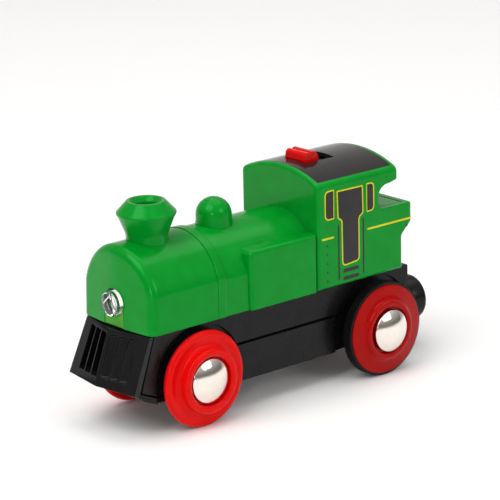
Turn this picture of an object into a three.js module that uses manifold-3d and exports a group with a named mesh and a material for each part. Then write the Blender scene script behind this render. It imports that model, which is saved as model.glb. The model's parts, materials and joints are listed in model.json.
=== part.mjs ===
// Battery-driven toy steam locomotive for wooden track, as separate pieces in millimetres.
// +X is the front (headlight end), +Y the left side, +Z up, and z = 0 is the plane the wheels stand on.
import * as THREE from 'three';
import { ConvexGeometry } from 'three/addons/geometries/ConvexGeometry.js';
import { RoundedBoxGeometry } from 'three/addons/geometries/RoundedBoxGeometry.js';
import { mergeVertices } from 'three/addons/utils/BufferGeometryUtils.js';
import Module from 'manifold-3d';

const wasm = await Module();
wasm.setup();

// ---------- driving dimensions ----------
const GAP = 0.3;                 // clearance between neighbouring pieces
const WALL = 1.6;                // wall of the green casings
const CASING_BOTTOM = 23.65;     // lower edge of the green casings
const ROUND_STEPS = 24;          // steps on small turned pieces
const WHEEL_STEPS = 28;          // steps on wheels and tyres

// Smokebox, boiler and tanks
const BOILER_AXIS_Z = 29.1;
const SMOKEBOX_R = 12.6;         // each casing is a round top on flat sides that stand a little inside it
const SMOKEBOX_Y = 12.3;
const BOILER_R = 12.35;
const BOILER_Y = 12.1;
const BAND_R = 12.78;
const BAND_Y = 12.35;
const SMOKEBOX_REAR_X = 22.8;
const BAND_REAR_X = 20.2;
const NOSE_X = 42.3;             // the vertical crease down the middle of the nose
const NOSE_SWEEP = 0.1;          // how far the nose falls back for each mm sideways
const NOSE_RAKE = 0.035;         // how far the nose falls back for each mm up
const NOSE_FILLET = 1.9;
const TANK_FRONT_X = 13.7;
const TANK_TOP_Z = 37.15;
const TANK_Y = 13.0;
const TANK_EDGE = 1.0;

// Cab and bunker
const CAB_FRONT_X = -6.15;
const CAB_REAR_X = -32.45;
const ROOF_REAR_X = -30.75;
const BUNKER_REAR_X = -35.45;
const CAB_Y = 13.1;
const ROOF_TOP_Z = 51.2;
const ROOF_R = 30;
const BUNKER_TOP_Z = 39.15;
const BUNKER_STEP_Z = 34.45;
const BUNKER_FOOT_Z = 31.6;
const NOTCH_X = -28.1;           // centre of the round front end of the rear opening
const NOTCH_Z = 41.75;
const NOTCH_R = 3.25;
const NOTCH_LIP_Z = 45.5;
const SLOT_FRONT_X = -10.75;
const SLOT_REAR_X = -19.75;
const SLOT_Y = 3.75;

// Switch
const KNOB_FRONT_X = -11.1;
const KNOB_REAR_X = -15.35;
const KNOB_Y = 3.3;
const KNOB_TOP_Z = 53.2;
const STEM_X = 1.2;
const STEM_Y = 2.0;
const CARRIER_FRONT_X = -8.1;
const CARRIER_REAR_X = -18.9;
const CARRIER_Y = 5.3;
const CARRIER_TOP_Z = 48.75;

// Chimney, dome and headlight
const CHIMNEY_X = 32.15;
const CHIMNEY_BASE_R = 4.7;
const CHIMNEY_WIDE_R = 6.64;
const CHIMNEY_WIDE_Z = 47.5;
const CHIMNEY_RIM_R = 4.27;
const CHIMNEY_RIM_Z = 50.15;
const CHIMNEY_BORE_R = 2.6;
const DOME_X = 13.2;
const DOME_R = 4.07;
const DOME_BALL_Z = 43.2;
const LAMP_Z = 28.9;
const LAMP_R = 2.8;
const LAMP_FRONT_X = 43.9;
const TAB_Y = 3.2;

// Chassis
const FRAME_Y = 10.5;
const FRAME_WALL = 1.5;
const FRAME_TOP_Z = 23.35;
const FRAME_REAR_X = -36.4;
const SEAM_Z = 15.8;
const TRAY_BOTTOM_Z = 7.0;
const ARCH_R = 12.2;             // round recesses behind the wheels
const ARCH_DEPTH = 0.8;
const NOSE_SPLIT_X = 34.2;
const FRONT_SCREW = [31.0, 0];
const REAR_SCREW = [-12.0, 6.5];
const DOOR_SCREW = [17.5, 6.2];

// Cowcatcher corners: x, half-width and height
const PILOT_TOP_X = 41.0;
const PILOT_TOP_RIDGE_X = 43.45;
const PILOT_TOP_Y = 11.1;
const PILOT_TOP_Z = 23.3;
const PILOT_LOW_X = 46.15;
const PILOT_LOW_RIDGE_X = 47.85;
const PILOT_LOW_Y = 11.65;
const PILOT_LOW_Z = 11.2;
const PILOT_BACK_TOP_X = 39.9;
const PILOT_BACK_LOW_X = 44.6;
const PILOT_SLOTS = 3;
const PILOT_SLOT_START = 0.05;   // shares of the half-width
const PILOT_SLOT_PITCH = 0.235;
const PILOT_SLOT_WIDTH = 0.195;
const PILOT_SLOT_TOP = 0.08;     // shares of the height
const PILOT_SLOT_FOOT = 0.85;
const PILOT_SLOT_SHALLOW = 0.35; // each slot deepens from its ridge side outwards
const PILOT_SLOT_DEEP = 1.5;

// Running gear
const FRONT_AXLE_X = 27.28;
const FRONT_WHEEL_R = 11.0;
const REAR_AXLE_X = -24.84;
const REAR_WHEEL_R = 11.1;
const REAR_LIP_R = 10.5;
const AXLE_R = 1.25;
const AXLE_HOLE_R = 1.34;
const CAP_R = 5.0;
const CAP_RISE = 1.5;
const HUB_BORE_R = 1.36;

// Battery, motor and gears
const BATTERY_R = 5.25;
const BATTERY_LENGTH = 43.3;
const BATTERY_X = 2.0;
const BATTERY_Y = -2.9;
const BATTERY_Z = 14.2;
const BOARD_Z = 44.6;            // underside of the circuit board
const GEAR_MODULE = 0.4;
const GEAR_WIDTH = 1.4;
const PLANE_1_Y = 3.4;
const PLANE_2_Y = 5.1;
const PLANE_3_Y = 6.8;
const SMALL_TEETH = 8;
const AXLE_TEETH = 18;
const IDLER_B_TEETH = 17;
const IDLER_A_TEETH = 20;
const IDLER_PIN_R = 0.5;
const IDLER_BORE_R = 0.6;
const MOTOR_SHAFT_R = 0.5;

// Rear coupling
const COUPLING_PIVOT_X = -32.6;
const COUPLING_Z = 10.7;
const CUP_R = 5.4;
const CUP_REAR_X = -47.85;
const MAGNET_R = 4.0;

// ---------- geometry helpers ----------
function toSolid(geometry) {
  const bare = new THREE.BufferGeometry();
  bare.setAttribute('position', geometry.getAttribute('position').clone());
  if (geometry.index) bare.setIndex(geometry.index.clone());
  const merged = mergeVertices(bare, 1e-4);
  const index = merged.index.array;
  const position = merged.getAttribute('position');
  const corner = [0, 1, 2].map(() => new THREE.Vector3());
  const faces = [];
  let volume = 0;
  for (let i = 0; i < index.length; i += 3) {
    const [a, b, c] = [index[i], index[i + 1], index[i + 2]];
    if (a === b || b === c || a === c) continue;
    faces.push(a, b, c);
    [a, b, c].forEach((vertex, k) => corner[k].fromBufferAttribute(position, vertex));
    volume += corner[0].dot(corner[1].clone().cross(corner[2]));
  }
  if (volume < 0) faces.reverse();
  const vertProperties = new Float32Array(position.array);
  const mesh = new wasm.Mesh({ numProp: 3, vertProperties, triVerts: new Uint32Array(faces) });
  return new wasm.Manifold(mesh);
}

function toGeometry(solid) {
  const mesh = solid.getMesh();
  const geometry = new THREE.BufferGeometry();
  geometry.setAttribute('position', new THREE.BufferAttribute(new Float32Array(mesh.vertProperties), 3));
  geometry.setIndex(new THREE.BufferAttribute(new Uint32Array(mesh.triVerts), 1));
  geometry.computeVertexNormals();
  return geometry;
}

function join(...solids) {
  return solids.reduce((whole, piece) => whole.add(piece));
}

function cut(solid, ...tools) {
  return tools.reduce((rest, tool) => rest.subtract(tool), solid);
}

function box(x0, x1, y0, y1, z0, z1) {
  const geometry = new THREE.BoxGeometry(x1 - x0, y1 - y0, z1 - z0);
  geometry.translate((x0 + x1) / 2, (y0 + y1) / 2, (z0 + z1) / 2);
  return toSolid(geometry);
}

function roundedBox(x0, x1, y0, y1, z0, z1, radius) {
  const geometry = new RoundedBoxGeometry(x1 - x0, y1 - y0, z1 - z0, 2, radius);
  geometry.translate((x0 + x1) / 2, (y0 + y1) / 2, (z0 + z1) / 2);
  return toSolid(geometry);
}

function hull(points) {
  return toSolid(new ConvexGeometry(points.map(([x, y, z]) => new THREE.Vector3(x, y, z))));
}

function outline(points) {
  return new THREE.Shape(points.map(([a, b]) => new THREE.Vector2(a, b)));
}

function extrude(shape, depth, options = {}) {
  return new THREE.ExtrudeGeometry(shape, { depth, bevelEnabled: false, curveSegments: 12, ...options });
}

// A shape drawn in (y, z), running from x0 to x1.
function alongX(shape, x0, x1, options = {}) {
  const geometry = extrude(shape, x1 - x0, options);
  const axes = [new THREE.Vector3(0, 1, 0), new THREE.Vector3(0, 0, 1), new THREE.Vector3(1, 0, 0)];
  geometry.applyMatrix4(new THREE.Matrix4().makeBasis(...axes));
  geometry.translate(x0, 0, 0);
  return geometry;
}

// A shape drawn in (x, z), running from y0 to y1.
function alongY(shape, y0, y1, options = {}) {
  const geometry = extrude(shape, y1 - y0, options);
  geometry.rotateX(Math.PI / 2);
  geometry.translate(0, y1, 0);
  return toSolid(geometry);
}

// A turned piece: profile points are [radius, distance along the axis].
function turned(profile, steps = ROUND_STEPS) {
  return new THREE.LatheGeometry(profile.map(([r, h]) => new THREE.Vector2(r, h)), steps);
}

function turnedX(profile, x, y, z, steps) {
  const geometry = turned(profile, steps);
  geometry.rotateZ(-Math.PI / 2);
  geometry.translate(x, y, z);
  return toSolid(geometry);
}

function turnedY(profile, x, z, side = 1, steps = ROUND_STEPS) {
  const geometry = turned(profile, steps);
  if (side < 0) geometry.rotateX(Math.PI);
  geometry.translate(x, 0, z);
  return toSolid(geometry);
}

function turnedZ(profile, x, y, steps) {
  const geometry = turned(profile, steps);
  geometry.rotateX(Math.PI / 2);
  geometry.translate(x, y, 0);
  return toSolid(geometry);
}

function rodProfile(radius, start, end) {
  return [[0, start], [radius, start], [radius, end], [0, end]];
}

function rodX(radius, x0, x1, y, z, steps) {
  return turnedX(rodProfile(radius, x0, x1), 0, y, z, steps);
}

function rodY(radius, y0, y1, x, z, steps) {
  return turnedY(rodProfile(radius, y0, y1), x, z, 1, steps);
}

function rodZ(radius, z0, z1, x, y, steps) {
  return turnedZ(rodProfile(radius, z0, z1), x, y, steps);
}

function arc(centreR, centreH, radius, from, to, steps) {
  const points = [];
  for (let i = 0; i <= steps; i += 1) {
    const angle = THREE.MathUtils.degToRad(from + ((to - from) * i) / steps);
    points.push([centreR + radius * Math.cos(angle), centreH + radius * Math.sin(angle)]);
  }
  return points;
}

// ---------- scene graph ----------
const locomotive = new THREE.Group();
const GREEN = [0x00862b, 0.32, 0];
const BLACK = [0x17171a, 0.42, 0];
const RED = [0xc9100c, 0.28, 0];
const CHROME = [0xd8d8d6, 0.12, 1];
const STEEL = [0x9a9da1, 0.35, 1];
const BRASS = [0xb8923f, 0.35, 1];
const WHITE_PLASTIC = [0xe6e2d6, 0.45, 0];

function addPiece(name, solid, [color, roughness, metalness]) {
  const material = new THREE.MeshStandardMaterial({ color, roughness, metalness });
  const mesh = new THREE.Mesh(toGeometry(solid), material);
  mesh.name = name;
  locomotive.add(mesh);
}

// ---------- smokebox ----------
// The outline of a casing seen from the front, as [y, z] points from its foot over the crown.
function archPoints(radius, halfWidth, bottom) {
  const start = Math.acos(halfWidth / radius);
  const points = [[0, bottom], [halfWidth, bottom]];
  for (let i = 0; i <= 24; i += 1) {
    const angle = start + ((Math.PI - 2 * start) * i) / 24;
    points.push([radius * Math.cos(angle), BOILER_AXIS_Z + radius * Math.sin(angle)]);
  }
  points.push([-halfWidth, bottom]);
  return points;
}

function archBody(radius, halfWidth, bottom, x0, x1) {
  return toSolid(alongX(outline(archPoints(radius, halfWidth, bottom)), x0, x1));
}

// An arch-shaped body whose front is swept back to both sides, so that it has a crease down its middle.
function noseSolid(radius, halfWidth, bottom, front, fillet) {
  const rows = [[SMOKEBOX_REAR_X, 0, 0]];
  for (let i = 0; i <= 4; i += 1) {
    const angle = (Math.PI / 2) * (i / 4);
    rows.push([front - fillet * (1 - Math.sin(angle)), fillet * (1 - Math.cos(angle)), 1]);
  }
  const positions = [];
  for (const [x, inset, lean] of rows) {
    for (const [y, z] of archPoints(radius - inset, halfWidth - inset, bottom)) {
      const back = lean * (NOSE_SWEEP * Math.abs(y) + NOSE_RAKE * (z - CASING_BOTTOM));
      positions.push(x - back, y, z);
    }
  }
  const count = archPoints(radius, halfWidth, bottom).length;
  const faces = [];
  for (let row = 0; row + 1 < rows.length; row += 1) {
    for (let i = 0; i < count; i += 1) {
      const a = row * count + i;
      const b = row * count + ((i + 1) % count);
      faces.push(a, b, a + count, b, b + count, a + count);
    }
  }
  const last = (rows.length - 1) * count;
  for (let i = 1; i + 1 < count; i += 1) {
    faces.push(0, i + 1, i, last, last + i, last + i + 1);
  }
  const geometry = new THREE.BufferGeometry();
  geometry.setAttribute('position', new THREE.Float32BufferAttribute(positions, 3));
  geometry.setIndex(faces);
  return toSolid(geometry);
}

function smokeboxCasing() {
  const [r, y] = [SMOKEBOX_R - WALL, SMOKEBOX_Y - WALL];
  const outer = noseSolid(SMOKEBOX_R, SMOKEBOX_Y, CASING_BOTTOM, NOSE_X, NOSE_FILLET);
  const core = noseSolid(r, y, CASING_BOTTOM - 5, NOSE_X - WALL, 0.1);
  const rearMouth = archBody(r, y, CASING_BOTTOM - 5, SMOKEBOX_REAR_X - 2, 26);
  const lampHole = rodX(LAMP_R + 0.25, NOSE_X - 4, NOSE_X + 3, 0, LAMP_Z);
  const tabSlot = box(NOSE_X - 4, NOSE_X + 3, -TAB_Y - 0.2, TAB_Y + 0.2, CASING_BOTTOM - 1, LAMP_Z);
  const chimneyHole = rodZ(3.5, 35, 50, CHIMNEY_X, 0);
  const [x] = FRONT_SCREW;
  const post = rodZ(2.1, CASING_BOTTOM, 33, ...FRONT_SCREW, 16);
  const rib = box(x - 0.6, x + 0.6, -y - 0.5, y + 0.5, CASING_BOTTOM + 1, 32);
  const postBore = rodZ(0.9, CASING_BOTTOM - 1, 32, ...FRONT_SCREW, 12);
  const shell = cut(outer, core, rearMouth);
  return cut(join(shell, post, rib), lampHole, tabSlot, chimneyHole, postBore);
}

addPiece('smokebox_casing', smokeboxCasing(), GREEN);

// ---------- boiler with its band and both side tanks ----------
function boilerCasing() {
  const rear = CAB_FRONT_X + GAP;
  const front = SMOKEBOX_REAR_X - GAP;
  const boiler = archBody(BOILER_R, BOILER_Y, CASING_BOTTOM, rear, front);
  const band = archBody(BAND_R, BAND_Y, CASING_BOTTOM, BAND_REAR_X, front);
  const tank = roundedBox(rear, TANK_FRONT_X, -TANK_Y, TANK_Y, CASING_BOTTOM - 4, TANK_TOP_Z, TANK_EDGE);
  const room = box(rear, front, -20, 20, CASING_BOTTOM, 60);
  const hollow = archBody(BOILER_R - WALL, BOILER_Y - WALL, CASING_BOTTOM - 2, rear - 2, front + 2);
  const domeHole = rodZ(2.6, 35, 50, DOME_X, 0);
  return cut(join(boiler, band, tank).intersect(room), hollow, domeHole);
}

addPiece('boiler_casing', boilerCasing(), GREEN);

// ---------- cab with its bunker ----------
// Flat sides under an arched roof, seen from the front.
function cabShape(inset, bottom) {
  const y = CAB_Y - inset;
  const r = ROOF_R - inset;
  const centreZ = ROOF_TOP_Z - ROOF_R;
  const eave = Math.acos(y / r);
  const shape = new THREE.Shape();
  shape.moveTo(y, bottom);
  shape.lineTo(y, centreZ + r * Math.sin(eave));
  shape.absarc(0, centreZ, r, eave, Math.PI - eave, false);
  shape.lineTo(-y, bottom);
  shape.closePath();
  return shape;
}

// Everything behind the cab's rear edge, seen from the side; the margin keeps the wall thickness.
function rearCutShape(margin) {
  const far = BUNKER_REAR_X - 8;
  const shape = new THREE.Shape();
  shape.moveTo(far, CASING_BOTTOM - 8);
  shape.lineTo(CAB_REAR_X + margin, CASING_BOTTOM - 8);
  shape.lineTo(CAB_REAR_X + margin, BUNKER_FOOT_Z + margin * 0.4);
  shape.lineTo(BUNKER_REAR_X + margin, BUNKER_STEP_Z + margin * 0.4);
  shape.lineTo(BUNKER_REAR_X + margin, BUNKER_TOP_Z - margin);
  shape.lineTo(NOTCH_X, BUNKER_TOP_Z - margin);
  shape.absarc(NOTCH_X, NOTCH_Z, NOTCH_R + margin, -Math.PI * 0.29, Math.PI * 0.5, false);
  shape.lineTo(ROOF_REAR_X + margin, NOTCH_LIP_Z + margin);
  shape.lineTo(ROOF_REAR_X + margin, 60);
  shape.lineTo(far, 60);
  shape.closePath();
  return shape;
}

function cabCasing() {
  const body = toSolid(alongX(cabShape(0, CASING_BOTTOM), BUNKER_REAR_X, CAB_FRONT_X));
  const hollow = toSolid(alongX(cabShape(WALL, CASING_BOTTOM - 1), BUNKER_REAR_X - 1, CAB_FRONT_X - WALL));
  const walls = alongY(rearCutShape(WALL), -20, 20, { curveSegments: 8 });
  const rearCut = alongY(rearCutShape(0), -20, 20, { curveSegments: 8 });
  const shell = cut(body, cut(hollow, walls), rearCut);
  const slot = box(SLOT_REAR_X, SLOT_FRONT_X, -SLOT_Y, SLOT_Y, ROOF_TOP_Z - 4, ROOF_TOP_Z + 2);
  const deckY = CAB_Y - WALL;
  const deckOpening = box(BUNKER_REAR_X + WALL, NOTCH_X + 0.2, -deckY, deckY, 35, BUNKER_TOP_Z + 0.1);
  const [postX, postY] = REAR_SCREW;
  const post = rodZ(2.0, CASING_BOTTOM, 33, postX, postY, 16);
  const web = box(postX, CAB_FRONT_X - WALL + 0.2, postY - 0.6, postY + 0.6, CASING_BOTTOM + 1, 32);
  const bore = rodZ(0.9, CASING_BOTTOM - 1, 32, postX, postY, 12);
  return cut(join(cut(shell, slot, deckOpening), post, web), bore);
}

addPiece('cab_casing', cabCasing(), GREEN);

function bunkerDeck() {
  const y = CAB_Y - WALL - GAP;
  const rear = BUNKER_REAR_X + WALL + GAP;
  const front = NOTCH_X - 0.1;
  return box(rear, front, -y, y, BUNKER_TOP_Z - 1.6, BUNKER_TOP_Z);
}

addPiece('bunker_deck', bunkerDeck(), GREEN);

// ---------- chimney and steam dome ----------
// The foot of a round piece, cut to sit on the arched casing below it.
function saddle(x, seat, innerR, outerR, archR, archY) {
  const profile = [[innerR, seat - 2], [outerR, seat - 2], [outerR, seat + 0.1], [innerR, seat + 0.1]];
  profile.push(profile[0]);
  const casing = archBody(archR + GAP, archY + GAP, CASING_BOTTOM, x - outerR - 1, x + outerR + 1);
  return cut(turnedZ(profile, x, 0, 24), casing);
}

function chimney() {
  const seat = BOILER_AXIS_Z + SMOKEBOX_R + GAP;
  const profile = [
    [0, 38.2], [3.2, 38.2], [3.2, seat],
    [CHIMNEY_BASE_R, seat],
    [CHIMNEY_BASE_R + 0.25, seat + 1.4],
    [CHIMNEY_WIDE_R - 0.15, CHIMNEY_WIDE_Z - 0.35],
    [CHIMNEY_WIDE_R, CHIMNEY_WIDE_Z],
    [CHIMNEY_WIDE_R - 0.3, CHIMNEY_WIDE_Z + 0.25],
    [CHIMNEY_RIM_R, CHIMNEY_RIM_Z - 0.15],
    [CHIMNEY_RIM_R - 0.15, CHIMNEY_RIM_Z],
    [CHIMNEY_BORE_R + 1.1, CHIMNEY_RIM_Z],
    [CHIMNEY_BORE_R, CHIMNEY_RIM_Z - 0.95],
    [CHIMNEY_BORE_R - 0.15, CHIMNEY_RIM_Z - 5.2],
    [0, CHIMNEY_RIM_Z - 5.2],
  ];
  const foot = saddle(CHIMNEY_X, seat, 3.0, CHIMNEY_BASE_R, SMOKEBOX_R, SMOKEBOX_Y);
  return join(turnedZ(profile, CHIMNEY_X, 0, 24), foot);
}

addPiece('chimney', chimney(), GREEN);

function steamDome() {
  const seat = BOILER_AXIS_Z + BOILER_R + GAP;
  const ball = arc(0, DOME_BALL_Z, DOME_R, 0, 90, 7);
  const profile = [[0, 39.2], [2.3, 39.2], [2.3, seat], [DOME_R + 0.2, seat], ...ball];
  profile[profile.length - 1][0] = 0;
  const foot = saddle(DOME_X, seat, 2.1, DOME_R + 0.2, BOILER_R, BOILER_Y);
  return join(turnedZ(profile, DOME_X, 0, 24), foot);
}

addPiece('steam_dome', steamDome(), GREEN);

// ---------- headlight ----------
function headlightLens() {
  const face = LAMP_FRONT_X;
  const profile = [
    [0, face - 3.2], [LAMP_R, face - 3.2], [LAMP_R, face - 0.6],
    [LAMP_R - 0.25, face - 0.25], [LAMP_R - 0.9, face - 0.05], [0, face],
  ];
  return turnedX(profile, 0, 0, LAMP_Z);
}

addPiece('headlight_lens', headlightLens(), [0xe9edf0, 0.05, 0]);

function headlightReflector() {
  const rim = LAMP_FRONT_X - 3.5;
  const profile = [
    [1.7, rim - 2.4], [2.0, rim - 2.4], [2.7, rim - 0.4], [2.7, rim], [2.35, rim],
  ];
  profile.push(profile[0]);
  return turnedX(profile, 0, 0, LAMP_Z);
}

addPiece('headlight_reflector', headlightReflector(), CHROME);

function headlightLed() {
  const tip = LAMP_FRONT_X - 4.1;
  const profile = [[0, tip - 4.2], [1.5, tip - 4.2], [1.5, tip - 1.2], [1.1, tip - 0.4], [0, tip]];
  return turnedX(profile, 0, 0, LAMP_Z, 16);
}

addPiece('headlight_led', headlightLed(), [0xf4f1dc, 0.1, 0]);

function headlightTab() {
  const front = NOSE_X - 0.35;
  const plate = box(front - 1.5, front, -TAB_Y, TAB_Y, CASING_BOTTOM + 0.05, LAMP_Z - 0.3);
  return cut(plate, rodX(LAMP_R + 0.3, NOSE_X - 5, NOSE_X + 3, 0, LAMP_Z));
}

addPiece('headlight_tab', headlightTab(), [0x3f9a1c, 0.35, 0]);

// ---------- cowcatcher ----------
// A point on the raked front: across runs from the ridge (0) to the side (1), down from top to foot.
function pilotPoint(side, across, down) {
  const mix = THREE.MathUtils.lerp;
  const top = [mix(PILOT_TOP_RIDGE_X, PILOT_TOP_X, across), side * PILOT_TOP_Y * across, PILOT_TOP_Z];
  const low = [mix(PILOT_LOW_RIDGE_X, PILOT_LOW_X, across), side * PILOT_LOW_Y * across, PILOT_LOW_Z];
  return [0, 1, 2].map((k) => mix(top[k], low[k], down));
}

function pilotSlot(side, start) {
  const end = start + PILOT_SLOT_WIDTH;
  const [top, foot] = [PILOT_SLOT_TOP, PILOT_SLOT_FOOT];
  const mouth = [[start, top], [end, top], [end, foot], [start, foot]];
  const floor = [[start, top + 0.04], [end, top + 0.04], [end, foot - 0.02], [start, foot - 0.02]];
  const moved = (corners, depths) => corners.map(([across, down], i) => {
    const [x, y, z] = pilotPoint(side, across, down);
    return [x - depths[i], y, z];
  });
  const depths = [PILOT_SLOT_SHALLOW, PILOT_SLOT_DEEP, PILOT_SLOT_DEEP, PILOT_SLOT_SHALLOW];
  return hull([...moved(mouth, [-0.3, -0.3, -0.3, -0.3]), ...moved(floor, depths)]);
}

function cowcatcher() {
  let solid;
  for (const side of [1, -1]) {
    const back = [
      [PILOT_BACK_TOP_X, side * PILOT_TOP_Y, PILOT_TOP_Z],
      [PILOT_BACK_LOW_X, side * PILOT_LOW_Y, PILOT_LOW_Z],
      [PILOT_BACK_TOP_X, 0, PILOT_TOP_Z],
      [PILOT_BACK_LOW_X, 0, PILOT_LOW_Z],
    ];
    const front = [[0, 0], [1, 0], [1, 1], [0, 1]].map(([across, down]) => pilotPoint(side, across, down));
    const half = hull([...back, ...front]);
    solid = solid ? solid.add(half) : half;
  }
  for (const side of [1, -1]) {
    for (let i = 0; i < PILOT_SLOTS; i += 1) {
      solid = solid.subtract(pilotSlot(side, PILOT_SLOT_START + i * PILOT_SLOT_PITCH));
    }
  }
  return solid;
}

addPiece('cowcatcher', cowcatcher(), BLACK);

// ---------- chassis ----------
function wheelArches() {
  const [near, far] = [FRAME_Y - ARCH_DEPTH, FRAME_Y + 3];
  const axles = [[FRONT_AXLE_X, FRONT_WHEEL_R], [REAR_AXLE_X, REAR_WHEEL_R]];
  return axles.flatMap(([x, z]) => [rodY(ARCH_R, near, far, x, z, 36), rodY(ARCH_R, -far, -near, x, z, 36)]);
}

function upperFrame() {
  const low = SEAM_Z + 0.15;
  const side = outline([
    [FRAME_REAR_X, low], [NOSE_SPLIT_X, low], [NOSE_SPLIT_X, 8.75], [38.1, 8.75],
    [43.9, 11.45], [39.55, FRAME_TOP_Z], [FRAME_REAR_X + 0.5, FRAME_TOP_Z], [FRAME_REAR_X, FRAME_TOP_Z - 0.5],
  ]);
  const body = alongY(side, -FRAME_Y, FRAME_Y);
  const cheeks = hull([-1, 1].flatMap((s) => [
    [37.9, s * FRAME_Y, 8.8], [38.1, s * FRAME_Y, FRAME_TOP_Z],
    [39.55, s * 10.95, FRAME_TOP_Z], [43.9, s * 11.45, 11.45],
  ]));
  const y = FRAME_Y - FRAME_WALL;
  const rearRoom = box(FRAME_REAR_X + FRAME_WALL, -16.5, -y, y, 10, 30);
  const midRoom = box(-15, 21.4, -y, y, 10, 30);
  const noseRoom = [[22.9, 5], [35.6, 5], [35.6, 10.2], [39.6, 10.2], [37.2, 30], [22.9, 30]];
  const frontRoom = alongY(outline(noseRoom), -y, y);
  const [frontX, frontY] = FRONT_SCREW;
  const [rearX, rearY] = REAR_SCREW;
  const pads = [
    rodZ(2.4, low, FRAME_TOP_Z, frontX, frontY, 16), rodZ(2.3, low, FRAME_TOP_Z, rearX, rearY, 16),
    box(frontX - 0.6, frontX + 0.6, -y - 0.5, y + 0.5, low, FRAME_TOP_Z),
    box(rearX - 1, rearX + 1, rearY, y + 0.5, low, FRAME_TOP_Z),
    box(FRAME_REAR_X + 0.6, CAB_REAR_X, -y - 0.5, y + 0.5, FRAME_TOP_Z - 1.4, FRAME_TOP_Z),
  ];
  const holes = [rodZ(1.05, 0, 40, frontX, frontY, 12), rodZ(1.05, 0, 40, rearX, rearY, 12)];
  const batteryRoom = rodX(BATTERY_R + 0.5, -22, 26, BATTERY_Y, BATTERY_Z, 20);
  const shell = cut(join(body, cheeks), rearRoom, midRoom, frontRoom);
  return cut(join(shell, ...pads), ...holes, batteryRoom, ...wheelArches());
}

addPiece('chassis_frame', upperFrame(), BLACK);

function lowerTray() {
  const top = SEAM_Z - 0.15;
  const side = outline([
    [FRAME_REAR_X, TRAY_BOTTOM_Z], [34, TRAY_BOTTOM_Z], [38.8, 7.4], [42.2, 8.7], [44.5, 10.5],
    [44.1, 11.05], [38.2, 8.4], [NOSE_SPLIT_X - 0.3, 8.4], [NOSE_SPLIT_X - 0.3, top], [FRAME_REAR_X, top],
  ]);
  const y = FRAME_Y - FRAME_WALL;
  const hollow = box(FRAME_REAR_X + FRAME_WALL, NOSE_SPLIT_X - 1.8, -y, y, TRAY_BOTTOM_Z + 1.5, 30);
  const body = cut(alongY(side, -FRAME_Y, FRAME_Y), hollow);
  const saddle = box(25.95, FRONT_AXLE_X + 2.6, -3, 3, TRAY_BOTTOM_Z, 13.4);
  const doorHole = box(-21.2, 24.6, BATTERY_Y - 5.7, BATTERY_Y + 5.7, 0, TRAY_BOTTOM_Z + 2);
  const earHole = box(14.9, 20.1, BATTERY_Y + 5, 8.9, 0, TRAY_BOTTOM_Z + 1.55);
  const belly = box(-30.2, -19.6, 2.3, 6.4, TRAY_BOTTOM_Z - 0.7, TRAY_BOTTOM_Z + 1.5);
  const gearPocket = rodY(4.35, 3.0, 5.3, REAR_AXLE_X, REAR_WHEEL_R, 24);
  const couplingMouth = box(FRAME_REAR_X - 1, FRAME_REAR_X + 2.5, -3.3, 3.3, COUPLING_Z - 2.3, COUPLING_Z + 2.3);
  const pinBoss = rodZ(2.2, TRAY_BOTTOM_Z, COUPLING_Z - 1.9, COUPLING_PIVOT_X, 0, 16);
  const axleHoles = [
    rodY(AXLE_HOLE_R, -20, 20, FRONT_AXLE_X, FRONT_WHEEL_R),
    rodY(AXLE_HOLE_R, -20, 20, REAR_AXLE_X, REAR_WHEEL_R),
  ];
  const [frontX, frontY] = FRONT_SCREW;
  const [rearX, rearY] = REAR_SCREW;
  const [doorX, doorY] = DOOR_SCREW;
  const screwHoles = [
    rodZ(1.05, 0, 40, frontX, frontY, 12), rodZ(1.05, 0, 40, rearX, rearY, 12),
    rodZ(0.6, 0, 40, doorX, doorY, 12), rodZ(0.9, 0, 40, COUPLING_PIVOT_X, 0, 12),
  ];
  const sinks = [rodZ(1.9, 0, 9, frontX, frontY, 16), rodZ(1.9, 0, 9, rearX, rearY, 16)];
  const pads = [
    rodZ(2.5, TRAY_BOTTOM_Z, top, frontX, frontY, 16), rodZ(2.6, TRAY_BOTTOM_Z, top, rearX, rearY, 16),
  ];
  const doorPost = rodZ(1.8, TRAY_BOTTOM_Z + 1.6, 11.5, doorX, doorY, 16);
  const postArm = box(doorX - 1, doorX + 1, doorY, y + 0.5, TRAY_BOTTOM_Z + 1.6, 11.5);
  const solid = cut(join(body, saddle, belly, pinBoss, ...pads), doorHole, earHole);
  const open = cut(solid, gearPocket, couplingMouth, ...axleHoles, ...sinks);
  return cut(join(open, doorPost, postArm), ...screwHoles, ...wheelArches());
}

addPiece('chassis_tray', lowerTray(), BLACK);

function batteryDoor() {
  const lid = box(-20.9, 24.3, BATTERY_Y - 5.4, BATTERY_Y + 5.4, TRAY_BOTTOM_Z, TRAY_BOTTOM_Z + 1.2);
  const ribs = [];
  for (let i = 0; i < 5; i += 1) {
    const x = -14 + i * 2.2;
    ribs.push(box(x, x + 1.0, BATTERY_Y - 3, BATTERY_Y + 3, TRAY_BOTTOM_Z - 0.4, TRAY_BOTTOM_Z + 0.5));
  }
  const ear = box(15.2, 19.8, BATTERY_Y + 5, 8.6, TRAY_BOTTOM_Z, TRAY_BOTTOM_Z + 1.2);
  return cut(join(lid, ear, ...ribs), rodZ(0.95, 0, 9, ...DOOR_SCREW, 12));
}

addPiece('battery_door', batteryDoor(), BLACK);

// ---------- screws ----------
function screw(x, y, headZ, length, shankR, headR) {
  const head = [[0, headZ], [headR, headZ], [headR, headZ + 1.1], [shankR, headZ + 1.1]];
  const tip = [[shankR, headZ + length - 0.8], [0, headZ + length]];
  const drive = box(x - headR * 0.55, x + headR * 0.55, y - 0.22, y + 0.22, headZ - 1, headZ + 0.6);
  const cross = box(x - 0.22, x + 0.22, y - headR * 0.55, y + headR * 0.55, headZ - 1, headZ + 0.6);
  return cut(turnedZ([...head, ...tip], x, y, 16), drive, cross);
}

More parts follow.
